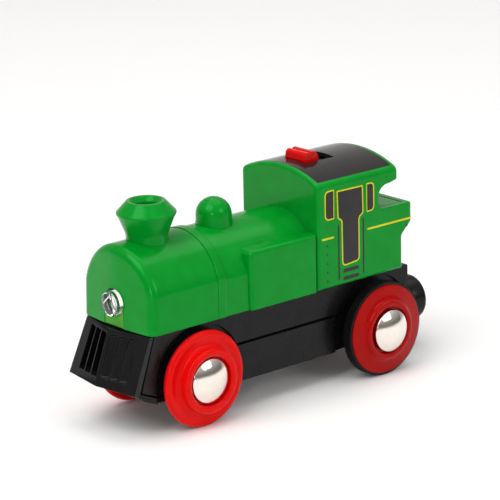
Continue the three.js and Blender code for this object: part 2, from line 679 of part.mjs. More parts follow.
addPiece('casing_screw_front', screw(...FRONT_SCREW, 7.6, 23, 0.8, 1.6), STEEL);
addPiece('casing_screw_rear', screw(...REAR_SCREW, 7.6, 23, 0.8, 1.6), STEEL);
addPiece('door_screw', screw(...DOOR_SCREW, 5.8, 5.4, 0.5, 1.25), STEEL);

// ---------- battery and its contacts ----------
function battery() {
  const start = BATTERY_X - BATTERY_LENGTH / 2;
  const end = BATTERY_X + BATTERY_LENGTH / 2;
  const profile = [
    [0, start], [BATTERY_R - 0.6, start], [BATTERY_R, start + 0.6], [BATTERY_R, end - 0.6],
    [BATTERY_R - 0.6, end], [1.9, end], [1.9, end + 1.2], [0, end + 1.2],
  ];
  return turnedX(profile, 0, BATTERY_Y, BATTERY_Z, 28);
}

addPiece('battery_aaa', battery(), [0x2e6fb0, 0.35, 0.3]);

function positiveContact() {
  const x = BATTERY_X + BATTERY_LENGTH / 2 + 1.35;
  return box(x, x + 0.3, BATTERY_Y - 3, BATTERY_Y + 3, BATTERY_Z - 3.4, BATTERY_Z + 3.4);
}

addPiece('battery_contact_positive', positiveContact(), BRASS);

class SpringCurve extends THREE.Curve {
  getPoint(t, target = new THREE.Vector3()) {
    const angle = t * 2 * Math.PI * 3;
    const radius = 3.0 - 1.4 * t;
    const x = BATTERY_X - BATTERY_LENGTH / 2 - 2.45 + 1.9 * t;
    return target.set(x, BATTERY_Y + radius * Math.cos(angle), BATTERY_Z + radius * Math.sin(angle));
  }
}

function roundShape(radius, count) {
  const points = [];
  for (let i = 0; i < count; i += 1) {
    const angle = (2 * Math.PI * i) / count;
    points.push([radius * Math.cos(angle), radius * Math.sin(angle)]);
  }
  return outline(points);
}

function batterySpring() {
  const wire = { steps: 42, bevelEnabled: false, extrudePath: new SpringCurve() };
  return toSolid(new THREE.ExtrudeGeometry(roundShape(0.22, 6), wire));
}

addPiece('battery_spring_negative', batterySpring(), STEEL);

function negativeContact() {
  const x = BATTERY_X - BATTERY_LENGTH / 2 - 3.05;
  return box(x, x + 0.3, BATTERY_Y - 3.4, BATTERY_Y + 3.4, BATTERY_Z - 3.4, BATTERY_Z + 3.4);
}

addPiece('battery_contact_negative', negativeContact(), BRASS);

// ---------- circuit board ----------
function circuitBoard() {
  const board = box(-22.6, -9, -9.5, 9.5, BOARD_Z, 45.8);
  const chip = box(-21.8, -19.4, -7.6, -3.4, 45.6, 46.5);
  return join(board, chip);
}

addPiece('circuit_board', circuitBoard(), [0x2f6b3a, 0.5, 0]);

// ---------- wires ----------
// Each wire is a soft tube on a smooth curve between two soldered ends.
const WIRE_R = 0.45;
const WIRE_STEP = 2.4;
const WIRE_TOP_Z = BOARD_Z - GAP;

const wireRoutes = {
  lamp_wire: [
    [35.3, 0.5, 28.9], [33.9, 2.6, 31.4], [31.0, 3.3, 33.7], [27.6, 3.4, 31.5], [22.0, 4.0, 27.2],
    [13.0, 4.2, 24.2], [2.0, 4.2, 22.3], [-7.0, 3.0, 22.1], [-11.2, 0.8, 24.2], [-15.0, 0.0, 28.0],
    [-14.4, 1.0, 36.0], [-12.0, 2.0, WIRE_TOP_Z],
  ],
  battery_wire_positive: [
    [25.15, -5.0, 18.0], [24.9, -5.6, 21.6], [23.0, -6.3, 24.6], [17.0, -6.6, 24.8], [7.0, -6.6, 23.0],
    [-4.0, -6.2, 22.0], [-9.0, -5.8, 22.6], [-13.6, -5.2, 26.0], [-14.0, -4.6, 34.0], [-12.4, -4.0, WIRE_TOP_Z],
  ],
  battery_wire_negative: [
    [-22.5, -5.4, 18.0], [-21.6, -7.0, 19.5], [-18.6, -7.8, 20.4], [-17.2, -8.0, 22.6], [-16.8, -8.0, 27.0],
    [-15.8, -7.4, 35.0], [-15.2, -6.8, WIRE_TOP_Z],
  ],
  motor_wire_front: [[-20.0, -9.4, 29.6], [-20.0, -10.0, 33.6], [-19.4, -8.8, 39.0], [-18.0, -8.0, WIRE_TOP_Z]],
  motor_wire_rear: [[-27.8, -9.4, 29.6], [-27.6, -10.0, 33.6], [-22.6, -9.2, 39.4], [-20.6, -8.6, WIRE_TOP_Z]],
};

function wire(points) {
  const curve = new THREE.CatmullRomCurve3(points.map(([x, y, z]) => new THREE.Vector3(x, y, z)));
  const steps = Math.ceil(curve.getLength() / WIRE_STEP);
  return toSolid(new THREE.ExtrudeGeometry(roundShape(WIRE_R, 8), {
    steps,
    bevelEnabled: false,
    extrudePath: curve,
  }));
}

for (const [name, points] of Object.entries(wireRoutes)) {
  addPiece(name, wire(points), name === 'battery_wire_positive' ? RED : BLACK);
}

// ---------- gear train ----------
const toRadians = THREE.MathUtils.degToRad;

function step(from, distance, degrees) {
  const angle = toRadians(degrees);
  return [from[0] + distance * Math.cos(angle), from[1] + distance * Math.sin(angle)];
}

function pitchRadius(teeth) {
  return (GEAR_MODULE * teeth) / 2;
}

const DIR_AXLE_TO_B = 70;
const DIR_B_TO_A = 100;
const DIR_A_TO_MOTOR = 90;
const axleCentre = [REAR_AXLE_X, REAR_WHEEL_R];
const centreB = step(axleCentre, pitchRadius(AXLE_TEETH) + pitchRadius(SMALL_TEETH), DIR_AXLE_TO_B);
const centreA = step(centreB, pitchRadius(IDLER_B_TEETH) + pitchRadius(SMALL_TEETH), DIR_B_TO_A);
const motorCentre = step(centreA, pitchRadius(IDLER_A_TEETH) + pitchRadius(SMALL_TEETH), DIR_A_TO_MOTOR);

// A spur gear in the x-z plane with one tooth pointing in toothDirection.
function gear(teeth, centre, y0, toothDirection, boreRadius) {
  const pitch = pitchRadius(teeth);
  const tipR = pitch + 0.85 * GEAR_MODULE;
  const rootR = pitch - 1.15 * GEAR_MODULE;
  const period = (2 * Math.PI) / teeth;
  const points = [];
  for (let i = 0; i < teeth; i += 1) {
    const middle = toRadians(toothDirection) + i * period;
    for (const [radius, offset] of [[rootR, -0.31], [tipR, -0.11], [tipR, 0.11], [rootR, 0.31]]) {
      const angle = middle + offset * period;
      points.push([centre[0] + radius * Math.cos(angle), centre[1] + radius * Math.sin(angle)]);
    }
  }
  const shape = outline(points);
  const bore = new THREE.Path().absarc(centre[0], centre[1], boreRadius, 0, 2 * Math.PI, true);
  shape.holes.push(bore);
  return alongY(shape, y0, y0 + GEAR_WIDTH, { curveSegments: 6 });
}

function halfTooth(teeth) {
  return 180 / teeth;
}

const axleGear = gear(AXLE_TEETH, axleCentre, PLANE_1_Y, DIR_AXLE_TO_B, AXLE_R + 0.08);
addPiece('axle_gear', axleGear, WHITE_PLASTIC);

// Two gears on one hub: the small one meshes below, the large one above.
function compoundGear(centre, largeTeeth, smallY, largeY, dirBelow, dirAbove) {
  const small = gear(SMALL_TEETH, centre, smallY, dirBelow + 180 + halfTooth(SMALL_TEETH), IDLER_BORE_R);
  const large = gear(largeTeeth, centre, largeY, dirAbove, IDLER_BORE_R);
  const hubProfile = [
    [IDLER_BORE_R, smallY + GEAR_WIDTH - 0.2], [1.05, smallY + GEAR_WIDTH - 0.2],
    [1.05, largeY + 0.2], [IDLER_BORE_R, largeY + 0.2],
  ];
  hubProfile.push(hubProfile[0]);
  return join(small, large, turnedY(hubProfile, centre[0], centre[1], 1, 24));
}

const gearB = compoundGear(centreB, IDLER_B_TEETH, PLANE_1_Y, PLANE_2_Y, DIR_AXLE_TO_B, DIR_B_TO_A);
const gearA = compoundGear(centreA, IDLER_A_TEETH, PLANE_2_Y, PLANE_3_Y, DIR_B_TO_A, DIR_A_TO_MOTOR);
addPiece('idler_gear_lower', gearB, WHITE_PLASTIC);
addPiece('idler_gear_upper', gearA, WHITE_PLASTIC);
addPiece('idler_pin_lower', rodY(IDLER_PIN_R, 2.3, 8.65, ...centreB, 12), STEEL);
addPiece('idler_pin_upper', rodY(IDLER_PIN_R, 2.3, 8.65, ...centreA, 12), STEEL);

const pinionDirection = DIR_A_TO_MOTOR + 180 + halfTooth(SMALL_TEETH);
const pinion = gear(SMALL_TEETH, motorCentre, PLANE_3_Y, pinionDirection, MOTOR_SHAFT_R + 0.06);
addPiece('motor_pinion', pinion, BRASS);
addPiece('motor_shaft', rodY(MOTOR_SHAFT_R, -8.4, PLANE_3_Y + GEAR_WIDTH + 0.2, ...motorCentre, 12), STEEL);

function motorCan() {
  const [x, z] = motorCentre;
  const can = box(x - 6, x + 6, -8.9, 1.6, z - 5, z + 5);
  const round = rodY(6.4, -9.5, 2.5, x, z, 28);
  const nose = rodY(2.2, -10.2, 2.2, x, z, 20);
  return cut(join(can.intersect(round), nose), rodY(MOTOR_SHAFT_R + 0.2, -9.2, 5, x, z, 12));
}

addPiece('motor', motorCan(), STEEL);

function gearboxFrame() {
  const [motorX, motorZ] = motorCentre;
  const profile = outline([
    [-29.3, 17.2], [-28.4, 8.6], [-21.6, 8.6], [-18.6, 17.2], [-18.2, 30.6], [-29.7, 30.6],
  ]);
  const inner = alongY(profile, 2.4, 3.1);
  const outer = alongY(profile, 8.3, 8.8);
  const bridges = [box(-29.6, -29.0, 2.4, 8.8, 24, 30), box(-18.8, -18.25, 2.4, 8.8, 24, 30)];
  const holes = [
    rodY(AXLE_HOLE_R, 0, 12, ...axleCentre), rodY(IDLER_PIN_R + 0.05, 0, 12, ...centreB, 12),
    rodY(IDLER_PIN_R + 0.05, 0, 12, ...centreA, 12), rodY(2.4, 0, 5, motorX, motorZ),
    rodY(1.0, 5, 12, motorX, motorZ, 12),
  ];
  return cut(join(inner, outer, ...bridges), ...holes);
}

addPiece('gearbox_frame', gearboxFrame(), WHITE_PLASTIC);

// ---------- axles, wheels, tyres and hub caps ----------
addPiece('front_axle', rodY(AXLE_R, -13.5, 13.5, FRONT_AXLE_X, FRONT_WHEEL_R, 16), STEEL);
addPiece('rear_axle', rodY(AXLE_R, -15.4, 15.4, REAR_AXLE_X, REAR_WHEEL_R, 16), STEEL);

// Profiles run outwards from the loco's centre line: [radius, y].
function frontWheel(side) {
  const profile = [
    [HUB_BORE_R, 10.8], [3.0, 10.8], [3.2, 11.5], [9.3, 11.5], [9.8, 11.32],
    ...arc(10.1, 12.17, 0.9, -75, 80, 6), [9.5, 13.1], [8.6, 12.95], [7.6, 13.1],
    [7.4, 14.7], [7.1, 15.15], [6.6, 15.35], [6.0, 15.25], [5.6, 14.9], [5.55, 13.7], [HUB_BORE_R, 13.7],
  ];
  profile.push(profile[0]);
  return turnedY(profile, FRONT_AXLE_X, FRONT_WHEEL_R, side, WHEEL_STEPS);
}

function rearWheel(side) {
  const profile = [
    [HUB_BORE_R, 10.8], [3.0, 10.8], [3.2, 12.4], [9.4, 12.4], [9.4, 15.05], [REAR_LIP_R - 0.1, 15.05],
    [REAR_LIP_R, 15.2], [REAR_LIP_R - 0.15, 15.4], [REAR_LIP_R - 0.5, 15.4], [8.2, 14.95], [7.5, 15.05],
    [7.05, 15.45], [6.85, 16.3], [6.6, 16.7], [6.25, 16.85], [5.8, 16.75], [5.5, 16.35], [5.45, 15.6],
    [HUB_BORE_R, 15.6],
  ];
  profile.push(profile[0]);
  return turnedY(profile, REAR_AXLE_X, REAR_WHEEL_R, side, WHEEL_STEPS);
}

function tyre(side) {
  const profile = [
    [9.7, 12.5], [10.8, 12.5], [REAR_WHEEL_R, 12.8], [REAR_WHEEL_R, 14.5], [10.95, 14.75], [9.7, 14.75],
  ];
  profile.push(profile[0]);
  return turnedY(profile, REAR_AXLE_X, REAR_WHEEL_R, side, WHEEL_STEPS);
}

// A shallow dome: part of a sphere that rises from its rim.
function hubCap(x, z, side, seat, rim) {
  const reach = CAP_R - 0.1;
  const sphere = (reach * reach + CAP_RISE * CAP_RISE) / (2 * CAP_RISE);
  const sweep = Math.asin(reach / sphere);
  const profile = [[0, seat], [CAP_R - 0.1, seat], [CAP_R, seat + 0.2], [CAP_R, rim - 0.15]];
  for (let i = 6; i >= 0; i -= 1) {
    const angle = (sweep * i) / 6;
    profile.push([sphere * Math.sin(angle), rim + CAP_RISE - sphere * (1 - Math.cos(angle))]);
  }
  return turnedY(profile, x, z, side, 24);
}

for (const [label, side] of [['left', 1], ['right', -1]]) {
  addPiece(`front_wheel_${label}`, frontWheel(side), RED);
  addPiece(`rear_wheel_${label}`, rearWheel(side), RED);
  addPiece(`rear_tyre_${label}`, tyre(side), [0x101012, 0.8, 0]);
  addPiece(`front_hub_cap_${label}`, hubCap(FRONT_AXLE_X, FRONT_WHEEL_R, side, 13.95, 14.75), CHROME);
  addPiece(`rear_hub_cap_${label}`, hubCap(REAR_AXLE_X, REAR_WHEEL_R, side, 15.85, 17.2), CHROME);
}

// ---------- switch ----------
function switchKnob() {
  const side = outline([
    [KNOB_FRONT_X - 0.25, 50.6], [KNOB_FRONT_X, 51.4], [KNOB_FRONT_X - 0.3, 52.6],
    [KNOB_FRONT_X - 1.0, KNOB_TOP_Z - 0.1], [KNOB_FRONT_X - 1.75, KNOB_TOP_Z - 0.15],
    [KNOB_FRONT_X - 2.1, KNOB_TOP_Z - 0.75], [KNOB_FRONT_X - 2.5, KNOB_TOP_Z],
    [KNOB_REAR_X + 0.9, KNOB_TOP_Z], [KNOB_REAR_X + 0.25, 52.5], [KNOB_REAR_X, 51.4],
    [KNOB_REAR_X + 0.25, 50.6], [KNOB_REAR_X + 0.25, CARRIER_TOP_Z + GAP],
    [KNOB_FRONT_X - 0.25, CARRIER_TOP_Z + GAP],
  ]);
  const bar = alongY(side, -KNOB_Y, KNOB_Y);
  const x = (KNOB_FRONT_X + KNOB_REAR_X) / 2;
  const stem = box(x - STEM_X, x + STEM_X, -STEM_Y, STEM_Y, CARRIER_TOP_Z - 0.8, 50);
  return join(bar, stem);
}

addPiece('switch_knob', switchKnob(), RED);

// The plate under the roof that the knob is clipped into; it closes the slot from below.
function switchCarrier() {
  const x = (KNOB_FRONT_X + KNOB_REAR_X) / 2;
  const plate = box(CARRIER_REAR_X, CARRIER_FRONT_X, -CARRIER_Y, CARRIER_Y, CARRIER_TOP_Z - 1, CARRIER_TOP_Z);
  const [a, b] = [STEM_X + GAP, STEM_Y + GAP];
  return cut(plate, box(x - a, x + a, -b, b, CARRIER_TOP_Z - 2, CARRIER_TOP_Z + 1));
}

addPiece('switch_carrier', switchCarrier(), BLACK);

function switchWiper() {
  const x = (KNOB_FRONT_X + KNOB_REAR_X) / 2;
  const strip = box(x - 2.4, x + 2.4, -2.6, 2.6, 47.1, 47.4);
  const toes = [-2.2, 1.2].map((y) => box(x - 2.3, x - 1.5, y, y + 1, 46.1, 47.2));
  return join(strip, ...toes);
}

addPiece('switch_wiper', switchWiper(), BRASS);

// ---------- rear coupling ----------
function couplingArm() {
  const cupBack = CUP_REAR_X;
  const profile = [
    [0, cupBack + 1.2], [MAGNET_R + 0.25, cupBack + 1.2], [MAGNET_R + 0.25, cupBack + 0.15],
    [CUP_R - 0.5, cupBack + 0.15], [CUP_R, cupBack + 0.6], [CUP_R - 0.1, cupBack + 3.2], [CUP_R - 1.0, cupBack + 5.0],
    [2.6, cupBack + 6.3], [1.8, cupBack + 7.6], [0, cupBack + 7.6],
  ];
  const cup = turnedX(profile, 0, 0, COUPLING_Z, 28);
  const arm = box(CUP_REAR_X + 6.2, COUPLING_PIVOT_X, -1.8, 1.8, COUPLING_Z - 1.6, COUPLING_Z + 1.6);
  const eye = rodZ(2.2, COUPLING_Z - 1.6, COUPLING_Z + 1.6, COUPLING_PIVOT_X, 0, 20);
  return cut(join(cup, arm, eye), rodZ(0.9, 0, 30, COUPLING_PIVOT_X, 0, 16));
}

addPiece('coupling_arm', couplingArm(), BLACK);

function couplingMagnet() {
  const start = CUP_REAR_X;
  const profile = [
    [0, start], [MAGNET_R - 0.2, start], [MAGNET_R, start + 0.2], [MAGNET_R, start + 0.9], [0, start + 0.9],
  ];
  return turnedX(profile, 0, 0, COUPLING_Z, 28);
}

addPiece('coupling_magnet', couplingMagnet(), STEEL);

function couplingPin() {
  const profile = [
    [0, TRAY_BOTTOM_Z + 0.1], [0.8, TRAY_BOTTOM_Z + 0.1], [0.8, COUPLING_Z + 2.0],
    [1.9, COUPLING_Z + 2.0], [1.9, COUPLING_Z + 2.7], [0, COUPLING_Z + 2.7],
  ];
  return turnedZ(profile, COUPLING_PIVOT_X, 0, 16);
}

addPiece('coupling_pin', couplingPin(), STEEL);

export default locomotive;
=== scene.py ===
"""Looks of the toy steam locomotive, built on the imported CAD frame."""

import json
import math

import bmesh
import bpy
from mathutils import Matrix, Vector


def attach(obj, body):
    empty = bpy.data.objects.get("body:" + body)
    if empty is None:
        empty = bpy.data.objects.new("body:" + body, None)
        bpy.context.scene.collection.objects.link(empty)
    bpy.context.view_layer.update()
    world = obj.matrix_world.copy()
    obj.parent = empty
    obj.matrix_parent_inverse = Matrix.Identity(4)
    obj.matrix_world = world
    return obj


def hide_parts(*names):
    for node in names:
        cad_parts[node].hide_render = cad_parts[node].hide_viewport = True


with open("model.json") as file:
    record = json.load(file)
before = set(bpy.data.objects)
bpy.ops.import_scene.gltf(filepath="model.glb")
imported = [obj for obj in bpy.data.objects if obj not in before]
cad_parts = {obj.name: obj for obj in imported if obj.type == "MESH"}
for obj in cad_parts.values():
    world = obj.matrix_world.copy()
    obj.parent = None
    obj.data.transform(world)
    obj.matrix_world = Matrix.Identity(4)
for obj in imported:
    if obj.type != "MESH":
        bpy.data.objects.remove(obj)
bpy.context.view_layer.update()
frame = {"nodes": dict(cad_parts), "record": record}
scene = bpy.context.scene

# ---------- camera ----------
CAMERA_PLACE = Vector((0.3605, 0.42205, 0.19594))
CAMERA_BACK = Vector((0.620, 0.7316, 0.283)).normalized()
CAMERA_ROLL = math.radians(-1.3)

right = Vector((-CAMERA_BACK.y, CAMERA_BACK.x, 0)).normalized()
up = CAMERA_BACK.cross(right)
level = Matrix((right, up, CAMERA_BACK)).transposed()
lens = bpy.data.cameras.new("camera")
lens.lens = 183.67
lens.sensor_width = 36.0
lens.clip_start = 0.05
lens.clip_end = 20.0
camera = bpy.data.objects.new("camera", lens)
scene.collection.objects.link(camera)
turn = level.to_4x4() @ Matrix.Rotation(CAMERA_ROLL, 4, "Z")
camera.matrix_world = Matrix.Translation(CAMERA_PLACE) @ turn
scene.camera = camera
scene.view_settings.view_transform = "Standard"


# ---------- materials ----------
def add_node(tree, kind, **values):
    node = tree.nodes.new(kind)
    for name, value in values.items():
        node.inputs[name.replace("_", " ")].default_value = value
    return node


def finish_material(
    name, low, high, rough, metallic=0.0, scale=260.0, bump=0.02, grain=9000.0, specular=0.3, tint=(1, 1, 1)
):
    """A plastic or metal whose tone and gloss wander slightly, over a fine grain."""
    made = bpy.data.materials.new(name)
    made.use_nodes = True
    tree = made.node_tree
    shader = tree.nodes["Principled BSDF"]
    shader.inputs["Metallic"].default_value = metallic
    shader.inputs["Specular IOR Level"].default_value = specular
    shader.inputs["Specular Tint"].default_value = (*tint, 1.0)
    place = tree.nodes.new("ShaderNodeTexCoord")
    cloud = add_node(tree, "ShaderNodeTexNoise", Scale=scale, Detail=3.0, Roughness=0.55)
    tree.links.new(place.outputs["Object"], cloud.inputs["Vector"])
    tones = tree.nodes.new("ShaderNodeValToRGB")
    tones.color_ramp.elements[0].position = 0.3
    tones.color_ramp.elements[0].color = (*low, 1.0)
    tones.color_ramp.elements[1].position = 0.7
    tones.color_ramp.elements[1].color = (*high, 1.0)
    tree.links.new(cloud.outputs["Fac"], tones.inputs["Fac"])
    tree.links.new(tones.outputs["Color"], shader.inputs["Base Color"])
    gloss = add_node(tree, "ShaderNodeMapRange", To_Min=rough[0], To_Max=rough[1])
    smudge = add_node(tree, "ShaderNodeTexNoise", Scale=scale * 0.45, Detail=5.0, Roughness=0.7)
    tree.links.new(place.outputs["Object"], smudge.inputs["Vector"])
    tree.links.new(smudge.outputs["Fac"], gloss.inputs["Value"])
    tree.links.new(gloss.outputs["Result"], shader.inputs["Roughness"])
    fine = add_node(tree, "ShaderNodeTexNoise", Scale=grain, Detail=2.0, Roughness=0.5)
    tree.links.new(place.outputs["Object"], fine.inputs["Vector"])
    relief = add_node(tree, "ShaderNodeBump", Strength=bump, Distance=0.0001)
    tree.links.new(fine.outputs["Fac"], relief.inputs["Height"])
    tree.links.new(relief.outputs["Normal"], shader.inputs["Normal"])
    return made


def clear_material(name, rough):
    """Clear moulded plastic with faint flow marks."""
    made = finish_material(name, (0.95, 0.96, 0.97), (0.98, 0.98, 0.99), rough, scale=500.0, bump=0.0, specular=0.5)
    shader = made.node_tree.nodes["Principled BSDF"]
    shader.inputs["Transmission Weight"].default_value = 1.0
    shader.inputs["IOR"].default_value = 1.49
    return made


GREEN = finish_material(
    "green plastic", (0.0002, 0.214, 0.0135), (0.0006, 0.246, 0.019), (0.13, 0.22), bump=0.05, tint=(0.25, 1.0, 0.4)
)
TAB_GREEN = finish_material("tab plastic", (0.045, 0.30, 0.010), (0.060, 0.34, 0.016), (0.3, 0.4), specular=0.2)
BLACK = finish_material(
    "black plastic", (0.004, 0.004, 0.0045), (0.007, 0.007, 0.0078), (0.22, 0.33), bump=0.06, specular=0.17
)
GRILLE_BLACK = finish_material(
    "grille plastic", (0.0025, 0.0025, 0.0028), (0.0045, 0.0045, 0.005), (0.13, 0.19), bump=0.03, specular=0.35
)
RED_TINT = (1.0, 0.3, 0.25)
RED = finish_material("knob plastic", (0.52, 0.001, 0.001), (0.60, 0.003, 0.002), (0.10, 0.18), tint=RED_TINT)
FRONT_RED = finish_material(
    "front wheel plastic", (0.64, 0.002, 0.002), (0.72, 0.004, 0.004), (0.13, 0.22), specular=0.25, tint=RED_TINT
)
REAR_RED = finish_material(
    "rear wheel plastic", (0.31, 0.001, 0.001), (0.37, 0.002, 0.002), (0.10, 0.18), bump=0.05, specular=0.25,
    tint=RED_TINT
)
RUBBER = finish_material("tyre rubber", (0.002, 0.002, 0.002), (0.005, 0.005, 0.005), (0.4, 0.6), bump=0.3)
CHROME = finish_material(
    "chrome cap", (0.82, 0.75, 0.69), (0.90, 0.83, 0.765), (0.07, 0.15), metallic=1.0, scale=900.0, bump=0.07
)
MIRROR = finish_material("reflector plating", (0.86, 0.87, 0.88), (0.93, 0.93, 0.94), (0.05, 0.12), metallic=1.0)
STEEL = finish_material("steel", (0.42, 0.42, 0.43), (0.52, 0.52, 0.53), (0.25, 0.4), metallic=1.0, bump=0.1)
MOTOR_STEEL = finish_material("motor steel", (0.40, 0.40, 0.41), (0.48, 0.48, 0.5), (0.35, 0.5), metallic=1.0)
MAGNET_STEEL = finish_material("magnet plating", (0.5, 0.49, 0.47), (0.6, 0.59, 0.57), (0.18, 0.3), metallic=1.0)
BRASS = finish_material("brass", (0.55, 0.40, 0.14), (0.66, 0.48, 0.18), (0.25, 0.4), metallic=1.0)
GEAR_PLASTIC = finish_material("gear plastic", (0.68, 0.66, 0.58), (0.76, 0.74, 0.66), (0.4, 0.5))
WRAP = finish_material("battery sleeve", (0.02, 0.10, 0.33), (0.03, 0.13, 0.4), (0.25, 0.35))
BOARD = finish_material("board", (0.01, 0.11, 0.03), (0.02, 0.15, 0.05), (0.3, 0.45))
WIRE_BLACK = finish_material("black wire", (0.008, 0.008, 0.008), (0.014, 0.014, 0.014), (0.45, 0.6))
WIRE_RED = finish_material("red wire", (0.42, 0.008, 0.006), (0.50, 0.012, 0.009), (0.45, 0.6))
LENS = clear_material("lens plastic", (0.02, 0.06))
PRINT_BLACK = finish_material("black print", (0.014, 0.012, 0.013), (0.02, 0.018, 0.019), (0.30, 0.42))
ROOF_PRINT = finish_material(
    "roof print", (0.007, 0.006, 0.006), (0.012, 0.011, 0.011), (0.11, 0.18), bump=0.03, specular=0.5
)
PRINT_YELLOW = finish_material("yellow print", (0.60, 0.52, 0.008), (0.68, 0.60, 0.014), (0.4, 0.5), specular=0.2)

SLOT_MATERIALS = {
    "green_plastic": GREEN, "black_plastic": BLACK, "red_plastic": RED, "red_wheel": FRONT_RED,
    "tab_plastic": TAB_GREEN, "clear_lens": LENS, "reflector_metal": MIRROR, "chrome_cap": CHROME,
    "tyre_rubber": RUBBER, "steel": STEEL, "motor_steel": MOTOR_STEEL, "magnet_steel": MAGNET_STEEL,
    "contact_brass": BRASS, "battery_wrap": WRAP, "board_laminate": BOARD, "gear_plastic": GEAR_PLASTIC,
    "wire_black": WIRE_BLACK, "wire_red": WIRE_RED,
}
for row in frame["record"]["subparts"]:
    node = frame["nodes"][row["node"]]
    node.data.materials.clear()
    node.data.materials.append(SLOT_MATERIALS[row["material_slot"]])


# ---------- mesh tools, in millimetres ----------
def new_object(name, verts, faces):
    mesh = bpy.data.meshes.new(name)
    mesh.from_pydata([tuple(v) for v in verts], [], faces)
    made = bpy.data.objects.new(name, mesh)
    scene.collection.objects.link(made)
    work = bmesh.new()
    work.from_mesh(mesh)
    bmesh.ops.remove_doubles(work, verts=work.verts, dist=1e-5)
    bmesh.ops.recalc_face_normals(work, faces=work.faces)
    bmesh.ops.triangulate(work, faces=[face for face in work.faces if len(face.verts) > 8])
    work.to_mesh(mesh)
    work.free()
    return made


def place(axis, a, b, h, centre):
    """A point at a, b across the axis and h along it."""
    x, y, z = centre
    if axis == "X":
        return (x + h, y + a, z + b)
    if axis == "Y":
        return (x + a, y + h, z + b)
    return (x + a, y + b, z + h)


def prism(name, outline, axis, low, high):
    count = len(outline)
    verts = [place(axis, a, b, h, (0, 0, 0)) for h in (low, high) for a, b in outline]
    faces = [(i, (i + 1) % count, (i + 1) % count + count, i + count) for i in range(count)]
    faces += [tuple(range(count)), tuple(range(count, 2 * count))]
    return new_object(name, verts, faces)


def block(name, x0, x1, y0, y1, z0, z1):
    return prism(name, [(x0, y0), (x1, y0), (x1, y1), (x0, y1)], "Z", z0, z1)


def lathe(name, profile, axis, centre, side=1, steps=96, radius_at=None):
    """A turned piece. The profile's points are (radius, distance along the axis)."""
    verts, rings = [], []
    for r, h in profile:
        if r < 1e-6:
            rings.append([len(verts)] * steps)
            verts.append(place(axis, 0, 0, h * side, centre))
            continue
        rings.append(list(range(len(verts), len(verts) + steps)))
        for i in range(steps):
            angle = 2 * math.pi * i / steps
            radius = radius_at(r, h, i) if radius_at else r
            verts.append(place(axis, radius * math.cos(angle), radius * math.sin(angle), h * side, centre))
    faces = []
    pairs = list(zip(rings, rings[1:]))
    if profile[0][0] > 1e-6 and profile[-1][0] > 1e-6:
        pairs.append((rings[-1], rings[0]))
    for one, two in pairs:
        for i in range(steps):
            j = (i + 1) % steps
            loop = []
            for v in (one[i], one[j], two[j], two[i]):
                if v not in loop:
                    loop.append(v)
            if len(loop) > 2:
                faces.append(tuple(loop))
    return new_object(name, verts, faces)


def loft(name, rows):
    """Closed rows of points with equal counts, skinned one to the next and capped at both ends."""
    count = len(rows[0])
    verts = [p for row in rows for p in row]
    faces = []
    for r in range(len(rows) - 1):
        for i in range(count):
            j = (i + 1) % count
            faces.append((r * count + i, r * count + j, (r + 1) * count + j, (r + 1) * count + i))
    faces.append(tuple(range(count)))
    faces.append(tuple(range((len(rows) - 1) * count, len(rows) * count)))
    return new_object(name, verts, faces)


def arc(a, b, radius, start, end, steps):
    """Points on an arc, angles in degrees."""
    points = []
    for i in range(steps + 1):
        angle = math.radians(start + (end - start) * i / steps)
        points.append((a + radius * math.cos(angle), b + radius * math.sin(angle)))
    return points


def rounded(corners, steps=6):
    """An outline from corners given as (a, b, radius)."""
    points = []
    count = len(corners)
    for i, (a, b, radius) in enumerate(corners):
        here = Vector((a, b))
        if radius <= 0:
            points.append((a, b))
            continue
        before = (Vector(corners[i - 1][:2]) - here).normalized()
        after = (Vector(corners[(i + 1) % count][:2]) - here).normalized()
        half = before.angle(after) / 2
        reach = radius / math.tan(half)
        middle = here + (before + after).normalized() * (radius / math.sin(half))
        start = here + before * reach - middle
        sweep = start.angle_signed(here + after * reach - middle)
        for k in range(steps + 1):
            angle = -sweep * k / steps
            cosine, sine = math.cos(angle), math.sin(angle)
            points.append((middle.x + start.x * cosine - start.y * sine,
                           middle.y + start.x * sine + start.y * cosine))
    return points


def inset(outline, distance):
    """The outline moved inwards, for an outline that runs anticlockwise."""
    points = []
    count = len(outline)
    for i in range(count):
        here = Vector(outline[i])
        before = (here - Vector(outline[i - 1])).normalized()
        after = (Vector(outline[(i + 1) % count]) - here).normalized()
        normal = Vector((-before.y, before.x)) + Vector((-after.y, after.x))
        normal.normalize()
        lean = max(0.35, normal.dot(Vector((-after.y, after.x))))
        points.append(tuple(here + normal * (distance / lean)))
    return points


def apply_modifiers(obj):
    graph = bpy.context.evaluated_depsgraph_get()
    mesh = bpy.data.meshes.new_from_object(obj.evaluated_get(graph))
    obj.modifiers.clear()
    obj.data = mesh


def combine(obj, tools, operation="DIFFERENCE"):
    for tool in tools:
        step = obj.modifiers.new("step", "BOOLEAN")
        step.operation = operation
        step.solver = "EXACT"
        step.object = tool
        apply_modifiers(obj)
        bpy.data.objects.remove(tool)
    return obj


def thicken(obj, thickness):
    step = obj.modifiers.new("step", "SOLIDIFY")
    step.thickness = thickness
    step.offset = -1
    step.use_even_offset = True
    apply_modifiers(obj)
    return obj


def soften(obj, width, angle=35, segments=3):
    step = obj.modifiers.new("step", "BEVEL")
    step.width = width
    step.segments = segments
    step.limit_method = "ANGLE"
    step.angle_limit = math.radians(angle)
    step.use_clamp_overlap = True
    apply_modifiers(obj)
    return obj


